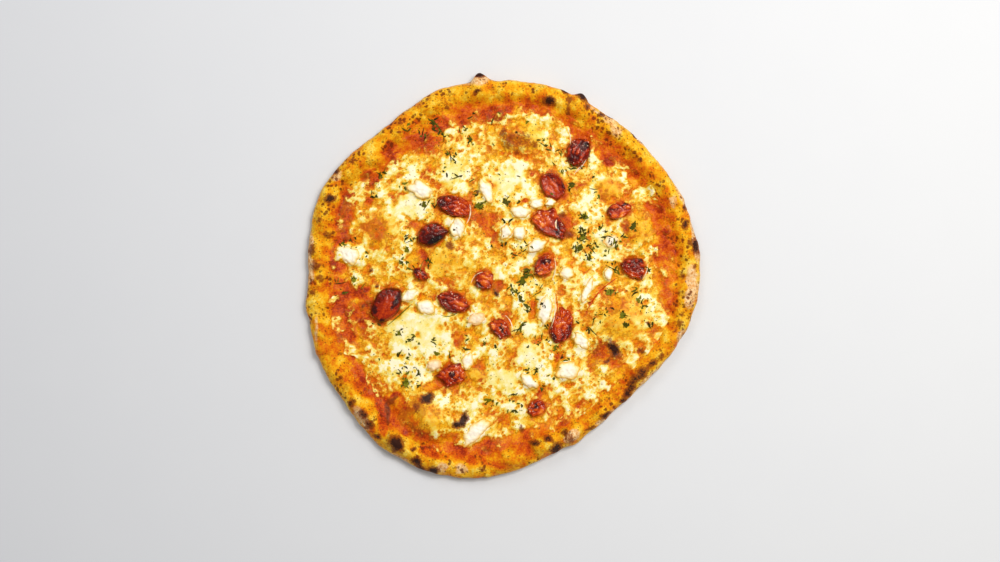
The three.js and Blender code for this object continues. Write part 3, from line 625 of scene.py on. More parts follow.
doughPlan = {
    "around": 940,
    "radius": 150,
    "footInset": 8,
    "widest": 4.6,
    "crestInset": 8.5,
    "rimTop": 12.5,
    "under": (12, 30, 50, 70, 88, 104, 117, 127, 134, 139),  # radii of the rows under the base
    "over": (109, 102, 92, 80, 66, 50, 30, 12),  # and on top of it
    "footRows": 8,  # rows up the foot
    "crestRows": 14,  # and from there to the crest
    "innerRows": (26, 1.05),  # rows down the inside of the rim, and how far apart
    "firm": 2.5,  # inset within which the rim's outer side keeps its own curve
    "rimEnds": (30, 20),  # insets over which the rim begins
    "lumps": [(1.2, 13, 21.0), (1.2, 6, 22.0), (0.5, 2.4, 23.0)],
    "charLift": 0.9,
    "sideBumps": (0.8, 0.35),  # wide and narrow ones on the rim's outer side
    "crestPaler": (0.17, 0.11),  # paler on its lumps' tops and more orange between them, a painted light and shade of the lumps; and paler all over
    "floury": 0.5,  # paleness of the rim's outer side
    "flouryUnder": 0.9,
    "toasted": 0.8,  # spots of the underside
    "tintUnder": 0.2,
}


def doughProfile():
    plan = doughPlan
    foot, crest = plan["radius"] - plan["footInset"], plan["radius"] - plan["crestInset"]
    rise = plan["rimTop"] - plan["widest"]
    rows = [(0, 0)] + [(r, 0.0) for r in plan["under"]]
    for k in range(plan["footRows"] + 1):
        turn = math.radians(90 * k / plan["footRows"])
        rows.append((foot + plan["footInset"] * math.sin(turn), plan["widest"] * (1 - math.cos(turn))))
    for k in range(1, plan["crestRows"] + 1):
        turn = math.radians(90 * k / plan["crestRows"])
        rows.append((crest + plan["crestInset"] * math.cos(turn), plan["widest"] + rise * math.sin(turn)))
    count, apart = plan["innerRows"]
    inner = [crest - k * apart for k in range(1, count + 1)]
    return rows + [(r, plan["rimTop"]) for r in (*inner, *plan["over"], 0)]


def sideCurve(inset):  # how high the rim's outer side is, as a share of the crest
    return np.sqrt(np.clip(1 - ((doughPlan["crestInset"] - inset) / doughPlan["crestInset"]) ** 2, 0, 1))


bpy.ops.mesh.primitive_plane_add(size=1)
dough = bpy.context.object
bpy.ops.object.mode_set(mode="EDIT")
bpy.ops.mesh.select_all(action="SELECT")
bpy.ops.mesh.merge(type="CENTER")
profile = doughProfile()
for (fromOut, fromUp), (toOut, toUp) in zip(profile, profile[1:]):
    step = ((toOut - fromOut) * mm, 0, (toUp - fromUp) * mm)
    bpy.ops.mesh.extrude_region_move(TRANSFORM_OT_translate={"value": step})
bpy.ops.mesh.select_all(action="SELECT")
bpy.ops.mesh.spin(steps=doughPlan["around"], angle=2 * math.pi, center=(0, 0, 0), axis=(0, 0, 1))
bpy.ops.object.mode_set(mode="OBJECT")
closeMesh(dough)
print("dough turned", len(dough.data.vertices), len(dough.data.polygons))

cadDough = treeOf(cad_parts["dough_base"])
cadSauce = treeOf(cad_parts["tomato_sauce"])
widest, firm = doughPlan["widest"], doughPlan["firm"]
x, y, z = readPlaces(dough).T / mm
radius = np.hypot(x, y)
edge = rimAt(x, y)
grow = edge / doughPlan["radius"]
x, y = x * grow, y * grow
inset = edge - radius * grow
onTop = (z > widest + 0.01) | ((z > 1) & (radius < 140))
# near the edge the height is that of the solid a little further in
inward = (edge - np.maximum(inset, firm)) / np.maximum(edge - inset, 1e-6)
top = heightOn([cadDough], x * inward, y * inward)
sideHeight = widest + (top - widest) * sideCurve(inset) / sideCurve(firm)
z = np.where(onTop, np.where(inset < firm, sideHeight, top), z)
writePlan(dough, (x, y, z))
applyModifier(dough, "SMOOTH", factor=0.5, iterations=10)

x, y, z = readPlan(dough)
radius = np.hypot(x, y)
inset = rimAt(x, y) - radius
burnt = scorch(x, y) * ease(z, 2.0, 5.0)
rimShare = ease(inset, *doughPlan["rimEnds"])
topShare = ease(z, 1.5, 5.0) * np.where(onTop, 1, rimShare)
lumps = ripples(x, y, doughPlan["lumps"])
z = z + topShare * (rimShare * (lumps + doughPlan["charLift"] * burnt) + blisterLift(x, y))
z = np.where(onTop, z, np.maximum(z, 0))
wideBumps, narrowBumps = doughPlan["sideBumps"]
bumpy = wideBumps * ripple(x, y, 9, 32.0) + narrowBumps * ripple(x + z, y + z, 3, 33.0)
grow = 1 + ease(z, 0.5, 3.0) * ease(inset, 6, 1) * bumpy / np.maximum(radius, 1)
x, y = x * grow, y * grow
writePlan(dough, (x, y, z))

# Pale, floury places: 1 is quite pale.
paleStrokes = {
    1.0: [(-20, 149, 8, 6), (146, 28, 3, 15, 5), (143, -3, 4.5, 12), (141, -18, 4, 8), (136, -48, 4, 7),
        (-147, 24, 3, 8), (-147, 5, 4, 10), (-107, -108, 4, 9, 35), (52, -122, 6, 4.5, 40),
        (77, -109, 8, 2.4, 38)],
    0.7: [(-80, -139, 9, 2.4, -25), (-46, -145, 6, 4), (-32, -147, 6, 4), (129, 56, 3, 6),
        (135, 60, 2, 9, 20), (85, 109, 6, 4.5, -35), (81, 117, 7, 3.4, -35), (104, 104, 7, 2, -42),
        (-126, 75, 5, 3, 40), (70, 125, 9, 1.5, -28), (115, 92, 12, 1.6, -50), (110, -78, 14, 1.4, 45),
        (-142, -40, 1.5, 12)],
}
warpX, warpY = warped(x, y, 6, 2, 41.0)
pale = dabOn(doughPlan["floury"] * ease(inset, 5, 0), warpX, warpY, paleStrokes, edge=0.6) * topShare
below = np.where(onTop, 0, 1 - ease(z, 1.2, 5.5))
lumpShading, allPaler = doughPlan["crestPaler"]
# the lumps' tops painted paler and the hollows between them more orange: painted light and shade on the rim
crest = rimShare * (lumpShading * np.clip(lumps, -1.5, 1.5) + allPaler)
toasted = doughPlan["toasted"] * ease(fractal(x, y, 15, 29.0), 0.2, 0.9)
paint(dough, "burnt", burnt + (toasted - burnt) * below)
paint(dough, "pale", pale + (doughPlan["flouryUnder"] - pale) * below)
paint(dough, "tint", (tintAt(x, y) - crest) * (1 - below) + doughPlan["tintUnder"] * below)

crust = Look("bakedCrust", rough=0.6, shine=0.1)
crustTint = oilTint(crust)
flour = crust.ramp(crust.grain(2.2, 4, 0.7),
                   (0.32, "c47c34"), (0.45, "e6b070"), (0.58, "f3d4a2"), (0.7, "fae6c6"))
paleShare = crust.sum((crust.painted("pale"), 1.0), (crust.grain(2.4, 4, 0.7), 0.6))
crustTint = crust.blend(crust.span(paleShare, 0.6, 1.1), crustTint, flour)
speck = crust.sum((crust.grain(1.7, 4, 0.75), 1.0), (crust.grain(14, 2), 0.6))
crustTint = crust.over(crustTint, "a04a08", speck, 0.86, 1.04, most=0.6)
freckles = crust.patches((3.4, 0.42, 0.75), 15, 0.48, 0.6)
crustTint = crust.over(crustTint, "6a2808", freckles, most=0.85)
crustTint = crust.over(crustTint, "74340c", crust.spots(2.2, 0.26, 0.5), most=0.75)
crust.finish(burnOver(crust, crustTint),
             (crust.grain(1.1, 4, 0.65), 1.0), (crust.grain(4, 2), 0.8), depth=0.6)
finishPiece(dough, "bakedDough", crust, "dough_base")
print("dough shaped")


# Sauce and cheese: fine sheets over a coarse underside

def discSheet(cellsAcross, share):
    bpy.ops.mesh.primitive_grid_add(x_subdivisions=cellsAcross, y_subdivisions=cellsAcross, size=2)
    sheet = bpy.context.object
    u, v, _ = readPlaces(sheet).T
    x, y = u * np.sqrt(1 - v * v / 2), v * np.sqrt(1 - u * u / 2)  # the square drawn in to a disc
    reach = edgeAt(x, y) * share
    writePlan(sheet, (x * reach, y * reach, 0 * x))
    return sheet


def upperSheet(plan):  # on the solids, and near the rim just over the finished dough
    sheet = discSheet(plan["cells"], plan["share"])
    x, y, z = readPlan(sheet)
    writePlan(sheet, (x, y, heightOn([cadSauce, cadDough], x, y)))
    applyModifier(sheet, "SMOOTH", factor=0.5, iterations=30, use_x=False, use_y=False)
    x, y, z = readPlan(sheet)
    z = z + blisterLift(x, y)
    overDough = heightOn([bakedTree], x, y) + hugPlan["gap"]
    return sheet, x, y, z + (overDough - z) * ease(shareOut(x, y), *hugPlan["from"])


def closeSheet(upper, plan, trees):  # adds the underside, which dips into what it lies on
    under = discSheet(plan["underCells"], plan["share"])
    x, y, z = readPlan(under)
    z = heightOn(trees, x, y) - plan["sunk"]
    writePlan(under, (x, y, z - hugPlan["tuck"] * ease(shareOut(x, y), *plan["tuckFrom"])))
    pick(upper, under)
    bpy.ops.object.join()
    bpy.ops.object.mode_set(mode="EDIT")
    bpy.ops.mesh.select_mode(type="EDGE")
    bpy.ops.mesh.select_all(action="DESELECT")
    bpy.ops.mesh.select_non_manifold()
    bpy.ops.mesh.bridge_edge_loops()
    bpy.ops.mesh.select_mode(type="VERT")
    bpy.ops.object.mode_set(mode="OBJECT")
    closeMesh(upper)
    x, y, z = readPlan(upper)
    paint(upper, "tint", tintAt(x, y))
    paint(upper, "burnt", scorch(x, y))
    return x, y


# Both sheets follow the finished dough from these shares of the way out, then dip into it.
hugPlan = {"from": (0.8, 0.87), "gap": 0.25, "tuck": 1.5}
bakedTree = treeOf(dough)
saucePlan = {
    "cells": 230,
    "underCells": 40,
    "share": 0.915,
    "sunk": 0.5,
    "tuckFrom": (0.84, 0.9),
    "pulp": [(0.35, 6, 51.0), (0.3, 2.6, 52.0)],
    "ragged": [(0.03, 12, 43.0), (0.015, 4, 44.0)],
    "dip": (0.86, 0.9),
}
sauce, x, y, z = upperSheet(saucePlan)
edgeShare = shareOut(x, y) + ripples(x, y, saucePlan["ragged"])
z = z + ripples(x, y, saucePlan["pulp"]) * ease(edgeShare, 0.88, 0.82)
writePlan(sauce, (x, y, z - hugPlan["tuck"] * ease(edgeShare, *saucePlan["dip"])))
closeSheet(sauce, saucePlan, [cadDough])
sauceLook = Look("tomatoSauce", rough=0.3, shine=0.12)
sauceLook.finish(burnOver(sauceLook, oilTint(sauceLook)),
                 (sauceLook.grain(1.3, 3, 0.6), 1.0), (sauceLook.grain(4, 2), 0.6), depth=0.5)
finishPiece(sauce, "sauceLayer", sauceLook, "tomato_sauce")
print("sauce", len(sauce.data.polygons))

# How far out the cheese reaches, every 15 degrees, as a share of the edge.
cheeseReach = [
    0.77, 0.77, 0.82, 0.79, 0.8, 0.87, 0.87, 0.81, 0.76, 0.81, 0.86, 0.8, 0.79, 0.74, 0.83, 0.83, 0.87,
    0.81, 0.78, 0.84, 0.92, 0.92, 0.92, 0.88,
]
# How thick the cheese lies: 0 none, 0.3 a thin orange film, 0.5 golden, 0.75 lacy cream, 1 thick.
cheeseStrokes = [
    # far left
    {0.6: [(-28, 100, 20, 15)],
     0.95: [(-70, 55, 13, 11, 10), (-74, 47, 10, 7), (-37, 78, 14, 11, 50), (-45, 75, 8, 8),
        (-22, 93, 5, 5)]},
    {0.82: [(-71, 78, 11, 5.5), (-74, 86, 8, 5, 30), (-83, 84, 4, 6, -30), (-88, 73, 5, 5), (-97, 69, 4, 5),
        (-88, 63, 11, 3, 33), (-33, 70, 12, 6), (-28, 101, 8, 4)],
     0.7: [(-112, 64, 6, 4.5, 20), (-97, 60, 8, 5), (-105, 47, 8, 4), (-93, 48, 8, 4)]},
    {0.25: [(-80, 60, 10, 2.4, 20), (-86, 55, 5, 3), (-60, 97, 10, 5, -10), (-57, 77, 8, 6, -10),
        (-97, 37, 12, 9)],
     0.4: [(-50, 68, 7, 4, 20), (-42, 65, 8, 2.5), (-20, 78, 6, 4), (-15, 88, 4, 3), (-88, 28, 7, 8),
        (-105, 55, 7, 5)],
     0.15: [(-80, 77, 2.5, 2.5), (-70, 41, 9, 2.4, -25)]},
    # far side
    {0.62: [(12, 124, 12, 5, 10), (20, 112, 14, 8, -15), (30, 98, 9, 6), (80, 75, 9, 5)],
     0.2: [(15, 93, 17, 3.5, -5), (3, 110, 3.5, 8, -15), (12, 102, 7, 5)],
     0.97: [(5, 72, 13, 10), (15, 65, 9, 8), (12, 83, 8, 4), (62, 55, 8, 10), (70, 48, 7, 8)]},
    {0.85: [(-5, 62, 8, 6), (0, 85, 12, 5), (43, 112, 5, 4, 10), (40, 103, 8, 3.5), (47, 81, 6, 6),
        (66, 86, 6, 6, -40), (66, 96, 2.6, 9, -10), (70, 66, 5, 10, -10), (92, 74, 4, 4), (104, 63, 4, 3.5),
        (86, 84, 11, 2.6, -18)],
     0.65: [(33, 119, 6, 4, -45), (35, 92, 8, 5), (100, 60, 6, 4), (107, 57, 6, 3.5), (5, 122, 3, 3)]},
    {0.45: [(12, 66, 3, 4), (22, 58, 5, 3), (80, 65, 8, 7), (45, 73, 5, 2.5), (105, 36, 12, 12),
        (55, 62, 4, 3)],
     0.25: [(25, 76, 3.4, 4), (60, 70, 7, 4, 60), (18, 56, 2.6, 2), (97, 66, 4, 4)],
     0.02: [(81, 98, 7, 12, -20), (91, 88, 10, 5, -30), (57, 112, 7, 7), (115, 57, 7, 7), (121, 45, 8, 10),
        (124, 30, 8, 10)]},
    # left
    {0.85: [(-108, 14, 7, 8), (-108, 20, 5, 4), (-72, 26, 5, 7, 10), (-82, 38, 6, 6), (-72, -5, 6, 4)],
     0.65: [(-115, 2, 4, 6), (-114, 34, 3, 6, 10), (-97, 16, 7, 5), (-95, 2, 9, 5), (-82, 2, 6, 5),
        (-80, -5, 8, 4, -10), (-55, -8, 7, 4), (-75, 10, 5, 6), (-127, -18, 6, 2.6, 20)]},
    {0.42: [(-86, 14, 4, 8), (-101, -5, 9, 4), (-100, 8, 5, 3)],
     0.12: [(-102, 5, 3, 3), (-68, 13, 4, 6), (-62, -17, 9, 2.2, -20), (-13, 42, 9, 7), (-8, 30, 3, 7, 10),
        (-3, 23, 4, 3), (-120, 48, 5, 12), (-121, 32, 3, 6)]},
    # middle
    {0.55: [(-25, 25, 12, 8), (-38, 12, 12, 8), (-5, 14, 9, 6), (48, 3, 11, 11)],
     0.82: [(-12, 20, 2.6, 9), (2, 5, 9, 8), (12, 12, 8, 5), (8, 23, 9, 6), (13, 37, 8, 5), (10, -15, 7, 8),
        (15, -28, 10, 9), (20, -40, 8, 6), (25, -8, 8, 5), (33, -8, 5, 5), (41, 8, 2.6, 8), (42, 22, 4, 4),
        (48, -19, 5, 4), (-20, -27, 8, 4.5), (-25, -35, 8, 5.5), (-12, -47, 8, 4), (-20, 17, 3.5, 7),
        (5, 40, 6, 3)]},
    {0.4: [(-5, -22, 10, 6), (-12, -15, 5, 3), (-30, -13, 10, 3.4, -10), (-20, -42, 6, 2.6), (45, 26, 5, 3),
        (53, 45, 5, 5), (56, 10, 3.5, 5), (52, -5, 8, 3.4), (5, -59, 7, 9)],
     0.2: [(-5, -8, 4, 5), (-35, -47, 6, 7), (0, -30, 6, 3, -40), (5, -35, 4, 3), (48, 36, 5, 8),
        (43, -25, 2.6, 6, 20), (62, -28, 2.4, 6, 25), (66, -18, 2.4, 4, -20)]},
    # right
    {0.9: [(78, 27, 11, 8), (75, 15, 9, 8), (85, 34, 6, 4), (72, -2, 5, 7), (68, 5, 5, 5),
        (57, -14, 3.5, 9, 20), (108, -16, 4, 3), (113, -25, 5, 5, -40), (106, -38, 5, 3.6),
        (100, -62, 2.6, 5)],
     0.7: [(68, 30, 6, 11), (80, 38, 8, 4), (104, 22, 5, 3), (112, 16, 3.5, 5), (108, -6, 5, 5),
        (120, -35, 6, 4.5), (102, -33, 6, 4.5), (70, -38, 5, 5), (97, -54, 2.6, 5), (55, -33, 4, 5),
        (55, 20, 4, 7), (92, -5, 6, 1.5, -35)]},
    {0.24: [(93, 37, 3.4, 6), (85, -22, 9, 7), (107, -46, 6, 2.6, -20), (105, -57, 3, 3)],
     0.45: [(78, 4, 4, 6), (78, -34, 9, 6), (90, -45, 12, 5), (112, -49, 10, 5), (95, -23, 4, 6)],
     0.08: [(122, 14, 9, 8), (122, 0, 8, 10), (124, -15, 6, 9)],
     0.13: [(76, -7, 14, 1.3, 28)]},
    # near left
    {0.93: [(-66, -40, 22, 12), (-72, -53, 15, 8), (-50, -33, 6, 6), (-78, -73, 12, 10), (-64, -74, 8, 8),
        (-37, -62, 3.6, 6)],
     0.7: [(-118, -53, 7, 3, -38), (-102, -75, 2.4, 9, -10), (-97, -66, 4, 6), (-90, -94, 4.5, 7),
        (-83, -88, 6, 3, 30), (-119, -41, 4, 2.6)]},
    {0.48: [(-99, -50, 10, 8), (-92, -75, 4.4, 9, 10)],
     0.28: [(-103, -54, 5, 3.4), (-88, -82, 6, 4), (-57, -85, 10, 3.4, 12), (-48, -82, 5, 3.6)],
     0.15: [(-80, -103, 7, 13, 10), (-68, -118, 12, 4.4, -30), (-45, -123, 7, 4)],
     0.02: [(-112, -78, 5, 11, -20), (-100, -95, 7, 4, -40), (-115, -45, 5, 7), (-105, -34, 5, 4),
        (-118, -30, 9, 7)]},
    {0.85: [(-42, -96, 11, 5.4, -5), (-28, -100, 8, 5.4), (-25, -106, 6, 4)],
     0.62: [(-50, -112, 8, 7), (-52, -132, 6.5, 2, -35)],
     0.12: [(-48, -78, 6, 3, -30), (-40, -84, 5, 3.4), (-30, -72, 3, 6), (-22, -76, 9.5, 6.5, -10)],
     0.38: [(-64, -45, 2.2, 2.2), (-69, -56, 2, 1.6), (-5, -72, 2.4, 2.4)]},
    {0.5: [(-22, -76, 6, 3.8, -10)]},
    # near side
    {0.85: [(-15, -60, 7, 6), (-3, -81, 13, 8), (20, -62, 9, 11), (33, -65, 6, 10), (30, -77, 6, 4),
        (8, -96, 10, 6), (47, -98, 2.2, 9), (43, -86, 4.4, 4.4), (76, -88, 9, 4.6, 10), (68, -87, 5, 3.4)],
     0.65: [(-18, -66, 5, 3), (20, -90, 8, 3.4), (10, -103, 6, 3.4), (-8, -113, 5, 3.4),
        (-3, -119, 10, 2.2), (25, -112, 5, 2.6), (35, -113, 5, 4, -45), (70, -97, 3.4, 5), (62, -61, 5, 4),
        (38, -95, 4, 1.6, -40)]},
    {0.42: [(3, -112, 9, 4), (80, -75, 9, 6.5), (55, -103, 6, 5), (112, -58, 7, 6)],
     0.24: [(-5, -105, 8, 3.4), (35, -105, 8, 5), (63, -100, 6, 4), (86, -90, 6, 7), (60, -112, 8, 4)],
     0.1: [(28, -84, 5, 3, -30), (29, -92, 3, 4), (40, -71, 2, 7, 10), (45, -61, 8, 2.4, -15),
        (75, -58, 6, 8, -10), (93, -72, 6, 6), (0, -127, 11, 4), (-14, -132, 6, 4)]},
    # smaller places, far and left
    {0.95: [(-55, -55, 8, 7), (-45, -48, 6, 8), (-86, -75, 5, 6), (-36, 66, 7, 5), (-4, 60, 6, 9),
        (-5, -56, 6, 5), (4, -4, 6, 6), (33, -67, 6, 8), (33, -78, 5, 3), (15, -75, 6, 5), (-66, 46, 6, 5),
        (-75, 56, 10, 4), (-70, 78, 10, 5), (16, -35, 6, 5), (19, -61, 7, 8)],
     0.8: [(-88, 72, 7, 4), (-77, 84, 6, 3), (-30, 103, 5, 4), (-13, 103, 7, 4), (-35, 83, 12, 5),
        (-24, 66, 5, 5), (7, 84, 6, 3), (45, 109, 5, 5), (45, 100, 4, 4), (-75, 27, 5, 6), (-112, -2, 4, 6),
        (-12, 22, 2, 9), (-10, -47, 8, 3), (57, -23, 4, 7), (14, -85, 6, 4)],
     0.62: [(-110, 63, 6, 5, 20), (-19, 95, 8, 5), (4, 87, 4, 4), (25, 117, 3, 3), (-16, -66, 5, 4),
        (35, 90, 5, 3), (-105, 45, 7, 4), (-92, 47, 7, 3), (-80, 37, 6, 3), (-100, 14, 6, 5),
        (-95, 3, 8, 3), (14, 36, 6, 5), (-127, -35, 3, 5), (-125, -18, 4, 3), (-137, -27, 3, 2.4),
        (35, -4, 5, 4)],
     0.42: [(-85, 57, 6, 4), (-96, 66, 4, 3), (-86, 21, 7, 9), (-105, 26, 4, 4), (-45, 13, 8, 6),
        (-62, 86, 8, 5), (-94, 15, 4, 4), (36, 113, 4, 5), (-17, 78, 4, 6), (36, 104, 5, 4), (84, 75, 5, 4),
        (-85, -1, 8, 4), (-4, 17, 9, 4), (-19, -43, 8, 3), (-76, 14, 4, 4)],
     0.26: [(-97, 36, 11, 7), (-57, 77, 5, 4), (-52, 68, 4, 4), (-52, 93, 4, 6), (-85, 60, 6, 2.6, 20),
        (-79, 76.5, 2.5, 2.5), (1, 88, 4, 4), (23, 76, 4, 5), (14, 114, 7, 4), (-27, -14, 6, 4),
        (23, -27, 3, 6), (-33, -46, 5, 5), (-27, 27, 6, 4), (-105, -46, 5, 5), (-86, 87, 5, 4)],
     0.06: [(-98, 76, 7, 6), (-87, 92, 4, 8, 10), (-7, 124, 10, 5), (7, 127, 6, 3), (27, 126, 9, 5, -10),
        (-35, 116, 9, 5), (-3, -7, 4, 6), (-25, -4, 5, 5), (-61, 14, 3.4, 5), (-128, 12, 5, 9),
        (-115, -15, 8, 7), (-104, -17, 7, 8), (-106, -36, 6, 6), (-66, 37, 5, 2.6, -20),
        (-123, -27, 5, 3)]},
    # smaller places, near and right
    {0.84: [(80, 30, 9, 8), (77, 16, 9, 7), (65, 35, 5, 5), (110, -17, 4, 4), (103, -37, 4, 4),
        (70, -85, 8, 5), (67, -93, 4, 6), (98, -63, 4, 3), (47, -88, 4, 3), (48, -98, 2.4, 7),
        (8, -97, 6, 4), (14, -103, 5, 4), (-40, -97, 9, 5), (-26, -98, 7, 5), (-89, -94, 4, 4)],
     0.66: [(93, -4, 6, 2, -30), (110, -5, 4, 5), (115, -26, 4, 4, -40), (108, 64, 7, 4), (113, 57, 4, 3),
        (120, -33, 6, 3), (115, 17, 2.6, 5), (112, 68, 4, 2.4, 20), (104, 15, 6, 3), (55, -91, 4, 5),
        (63, -66, 4, 4), (65, -75, 5, 3), (45, -54, 4, 3), (-95, -66, 5, 4), (-117, -55, 4, 5, -35),
        (-110, -63, 7, 2, -20), (-98, -85, 2.6, 7), (-3, -121, 8, 2.6), (36, -115, 5, 3, -45),
        (-45, -66, 5, 4)],
     0.42: [(-101, -57, 6, 5), (-95, -80, 5, 5), (53, -98, 4, 5), (84, -84, 5, 5), (15, -112, 8, 4),
        (27, -109, 5, 3), (-95, -46, 4, 4), (105, 15, 4, 4)],
     0.22: [(95, 26, 4, 5), (95, -15, 6, 4), (96, 56, 4, 4), (84, 86, 5, 4), (115, -13, 3, 4),
        (78, -95, 4, 5), (43, -104, 4, 6), (-4, -105, 5, 4), (-66, -106, 9, 9)],
     0.06: [(85, -66, 6, 4), (75, -64, 7, 6), (45, -63, 6, 3, 10), (106, 46, 5, 4), (95, -6, 4, 4),
        (42, -71, 1.6, 6, 5), (-87, -106, 8, 16, 8), (-74, -119, 12, 5, -32), (-84, -91, 8, 4, 30)]},
]
# Where the cheese has melted smooth instead of staying in crumbs: 1 is crumbs, 0 quite smooth.
smoothStrokes = {
    0.3: [(-66, -42, 24, 15, -10), (-45, 10, 14, 10), (-95, 36, 14, 11), (93, -34, 18, 14),
        (18, 106, 14, 9), (-60, -106, 14, 12), (-84, -106, 11, 18, 8), (103, 36, 11, 11), (80, 66, 9, 8),
        (-22, -76, 9, 6, -10), (5, 72, 14, 10), (-38, 78, 12, 8, 40), (-72, 53, 12, 10), (20, -60, 8, 10),
        (0, -80, 11, 6), (78, 24, 9, 9)],
}
cheesePlan = {
    "cells": 280,
    "underCells": 40,
    "share": 0.9,
    "sunk": 1.2,
    "tuckFrom": (0.86, 0.9),
    "base": 0.5,
    "rises": [-0.9, 0.1, 0.7, 1.2, 1.9],  # mm over the sauce, where its cover is as below
    "covers": [0, 0.06, 0.3, 0.6, 1.0],
    "waves": [(0.25, 9, 69.0)],
    "climb": {"tomato": (0.8, 1.15, 0.2), "fresh_cheese": (1.7, 1.2, 0.3)},  # mm, scale and edge round each
    "ragged": [(0.02, 7, 64.0)],
    "outline": (0.02, -0.03),  # how far past its reach it ends, and where it is full
    "warp": (8, 3.2, 61.0),
    "shake": (1.2, 3),  # a finer warp on top: how far, and its size
    "edge": 0.45,
    "toppingWarp": (5, 2.0, 71.0),
    "strewn": 0.28,  # thin crumbs out to the rim
    "lace": 0.62,
    "laceGrain": (9, 65.0, 0.75),
    "holes": 0.25,
    "holeGrain": (8.5, 68.0),
    "holeEdge": (0.26, 0.14),
    "fade": (0.82, 0.87),  # where it thins towards its edge
    "dip": (0.885, 0.9),  # and where it goes down into the dough
}


def cheeseCover(x, y):  # the amount with its crumbs and holes, and how crumbly it is
    share = shareOut(x, y)
    x2, y2 = warped(x, y, *cheesePlan["warp"])
    shake, size = cheesePlan["shake"]
    x2, y2 = x2 + shake * ripple(x, y, size, 62.0), y2 + shake * ripple(x, y, size, 63.0)
    reach = roundTurn(cheeseReach, x, y)
    outer, inner = cheesePlan["outline"]
    ragged = share + ripples(x, y, cheesePlan["ragged"])
    broad = cheesePlan["base"] * ease(ragged, reach + outer, reach + inner)
    for strokes in cheeseStrokes:
        broad = dabOn(broad, x2, y2, strokes, cheesePlan["edge"])
    x3, y3 = warped(x, y, *cheesePlan["toppingWarp"])
    broad = dabRound(broad, x3, y3, "tomato", 0.15, scale=1.15, edge=0.25)
    broad = dabRound(broad, x3, y3, "fresh_cheese", 0.6, scale=1.3, edge=0.2)
    broad = dabRound(broad, x3, y3, "fresh_cheese", 0.95, scale=1.08, edge=0.15)
    strewn = cheesePlan["strewn"] * ease(ripple(x, y, 8, 66.0), 0.0, 0.4) * ease(share, 0.9, 0.86)
    broad = np.maximum(broad, strewn)
    crumbly = dabOn(np.full(len(x), 1.0), x2, y2, smoothStrokes, edge=0.4)
    lace = cheesePlan["lace"] * fractal(x, y, *cheesePlan["laceGrain"]) * crumbly * ease(broad, 0.0, 0.3)
    holes = ease(holeNear(x, y, *cheesePlan["holeGrain"]), *cheesePlan["holeEdge"])
    holes = holes * ease(ripple(x, y, 14, 69.0), -0.1, 0.15)  # only in some areas
    return np.clip(broad + lace - cheesePlan["holes"] * holes * ease(broad, 0.6, 0.8), 0, 1.05), crumbly


cheese, x, y, z = upperSheet(cheesePlan)
thick = np.interp(cheeseCover(x, y)[0], cheesePlan["covers"], cheesePlan["rises"])
thinner = 0.6 * ease(shareOut(x, y), *cheesePlan["fade"]) * (thick > 0)
z = z + thick * (1 - thinner) + ripples(x, y, cheesePlan["waves"])
for kind, (climb, scale, edge) in cheesePlan["climb"].items():
    z = z + climb * dabRound(0 * x, x, y, kind, 1.0, scale, edge)
writePlan(cheese, (x, y, z - hugPlan["tuck"] * ease(shareOut(x, y), *cheesePlan["dip"])))
x, y = closeSheet(cheese, cheesePlan, [cadSauce, cadDough])
cover, crumbly = cheeseCover(x, y)
paint(cheese, "cover", cover)
paint(cheese, "crumbly", crumbly)

cheeseLook = Look("meltedCheese", rough=0.34, shine=0.15)
rough = cheeseLook.sum((cheeseLook.grain(2.2, 4, 0.75), 0.5), (cheeseLook.grain(0.9, 2, 0.6), 0.2),
                       (cheeseLook.spots(4.4, 0.36, 0.8), -0.26), start=-0.31)
crumbs = cheeseLook.times(rough, cheeseLook.painted("crumbly"))
worked = cheeseLook.sum((cheeseLook.painted("cover"), 0.65), (crumbs, 1.0), start=0.3)
cream = cheeseLook.ramp(worked, (0.5, "efb826"), (0.62, "f1c83e"), (0.74, "f0d962"), (0.82, "f3e588"),
                        (0.9, "f7eeac"), (0.97, "fdf9dc"))
cheeseTint = cheeseLook.blend(cheeseLook.span(worked, 0.5, 0.8), oilTint(cheeseLook), cream)
baked = cheeseLook.times(cheeseLook.span(worked, 0.4, 0.48), cheeseLook.span(worked, 0.58, 0.52))
cheeseTint = cheeseLook.over(cheeseTint, "a4620a", baked, most=0.5)
dust = cheeseLook.patches((2.3, 0.22, 0.6), 12, 0.4, 0.6)
cheeseTint = cheeseLook.over(cheeseTint, "5c4814", dust, most=0.75)
cheeseLook.finish(burnOver(cheeseLook, cheeseTint),
                  (cheeseLook.grain(1.0, 3, 0.6), 1.0), (cheeseLook.grain(3, 2), 0.5), depth=0.35)
finishPiece(cheese, "cheeseLayer", cheeseLook, "melted_cheese")
print("cheese", len(cheese.data.polygons))


# Toppings: round lumps that take their place and size from the frame

def roundLump(node, turn, corners, plan, layer):
    (midX, midY), long, wide, low, high = nodeSpan(node, turn)
    bpy.ops.object.select_all(action="DESELECT")
    bpy.ops.mesh.primitive_ico_sphere_add(subdivisions=plan["level"], radius=1)
    lump = bpy.context.object
    bpy.ops.object.shade_smooth()
    a, b, c = readPlaces(lump).T
    share = np.hypot(a, b)
    near = np.maximum(share, 0.3)
    reach = 1 + plan["uneven"] * ripple(a * 1.3 / near, b * 1.3 / near, 1, layer)
    reach = bulged(reach, np.degrees(np.arctan2(b, a)) + turn, corners)
    fullness = share ** plan["square"] / np.maximum(share, 1e-6) * reach
    x, y = turned(a * fullness * long / 2, b * fullness * wide / 2, -turn)
    tall = high - low
    z = np.where(c > 0, low + tall * np.abs(c) ** plan["dome"], low - plan["sunk"] * np.abs(c))
    steep = np.array([a / long, b / wide, c / tall])
    steep = steep / np.linalg.norm(steep, axis=0)
    normal = (*turned(steep[0], steep[1], -turn), steep[2])
    return lump, (midX + x, midY + y, z), normal, share, np.where(c > 0, np.abs(c), 0)


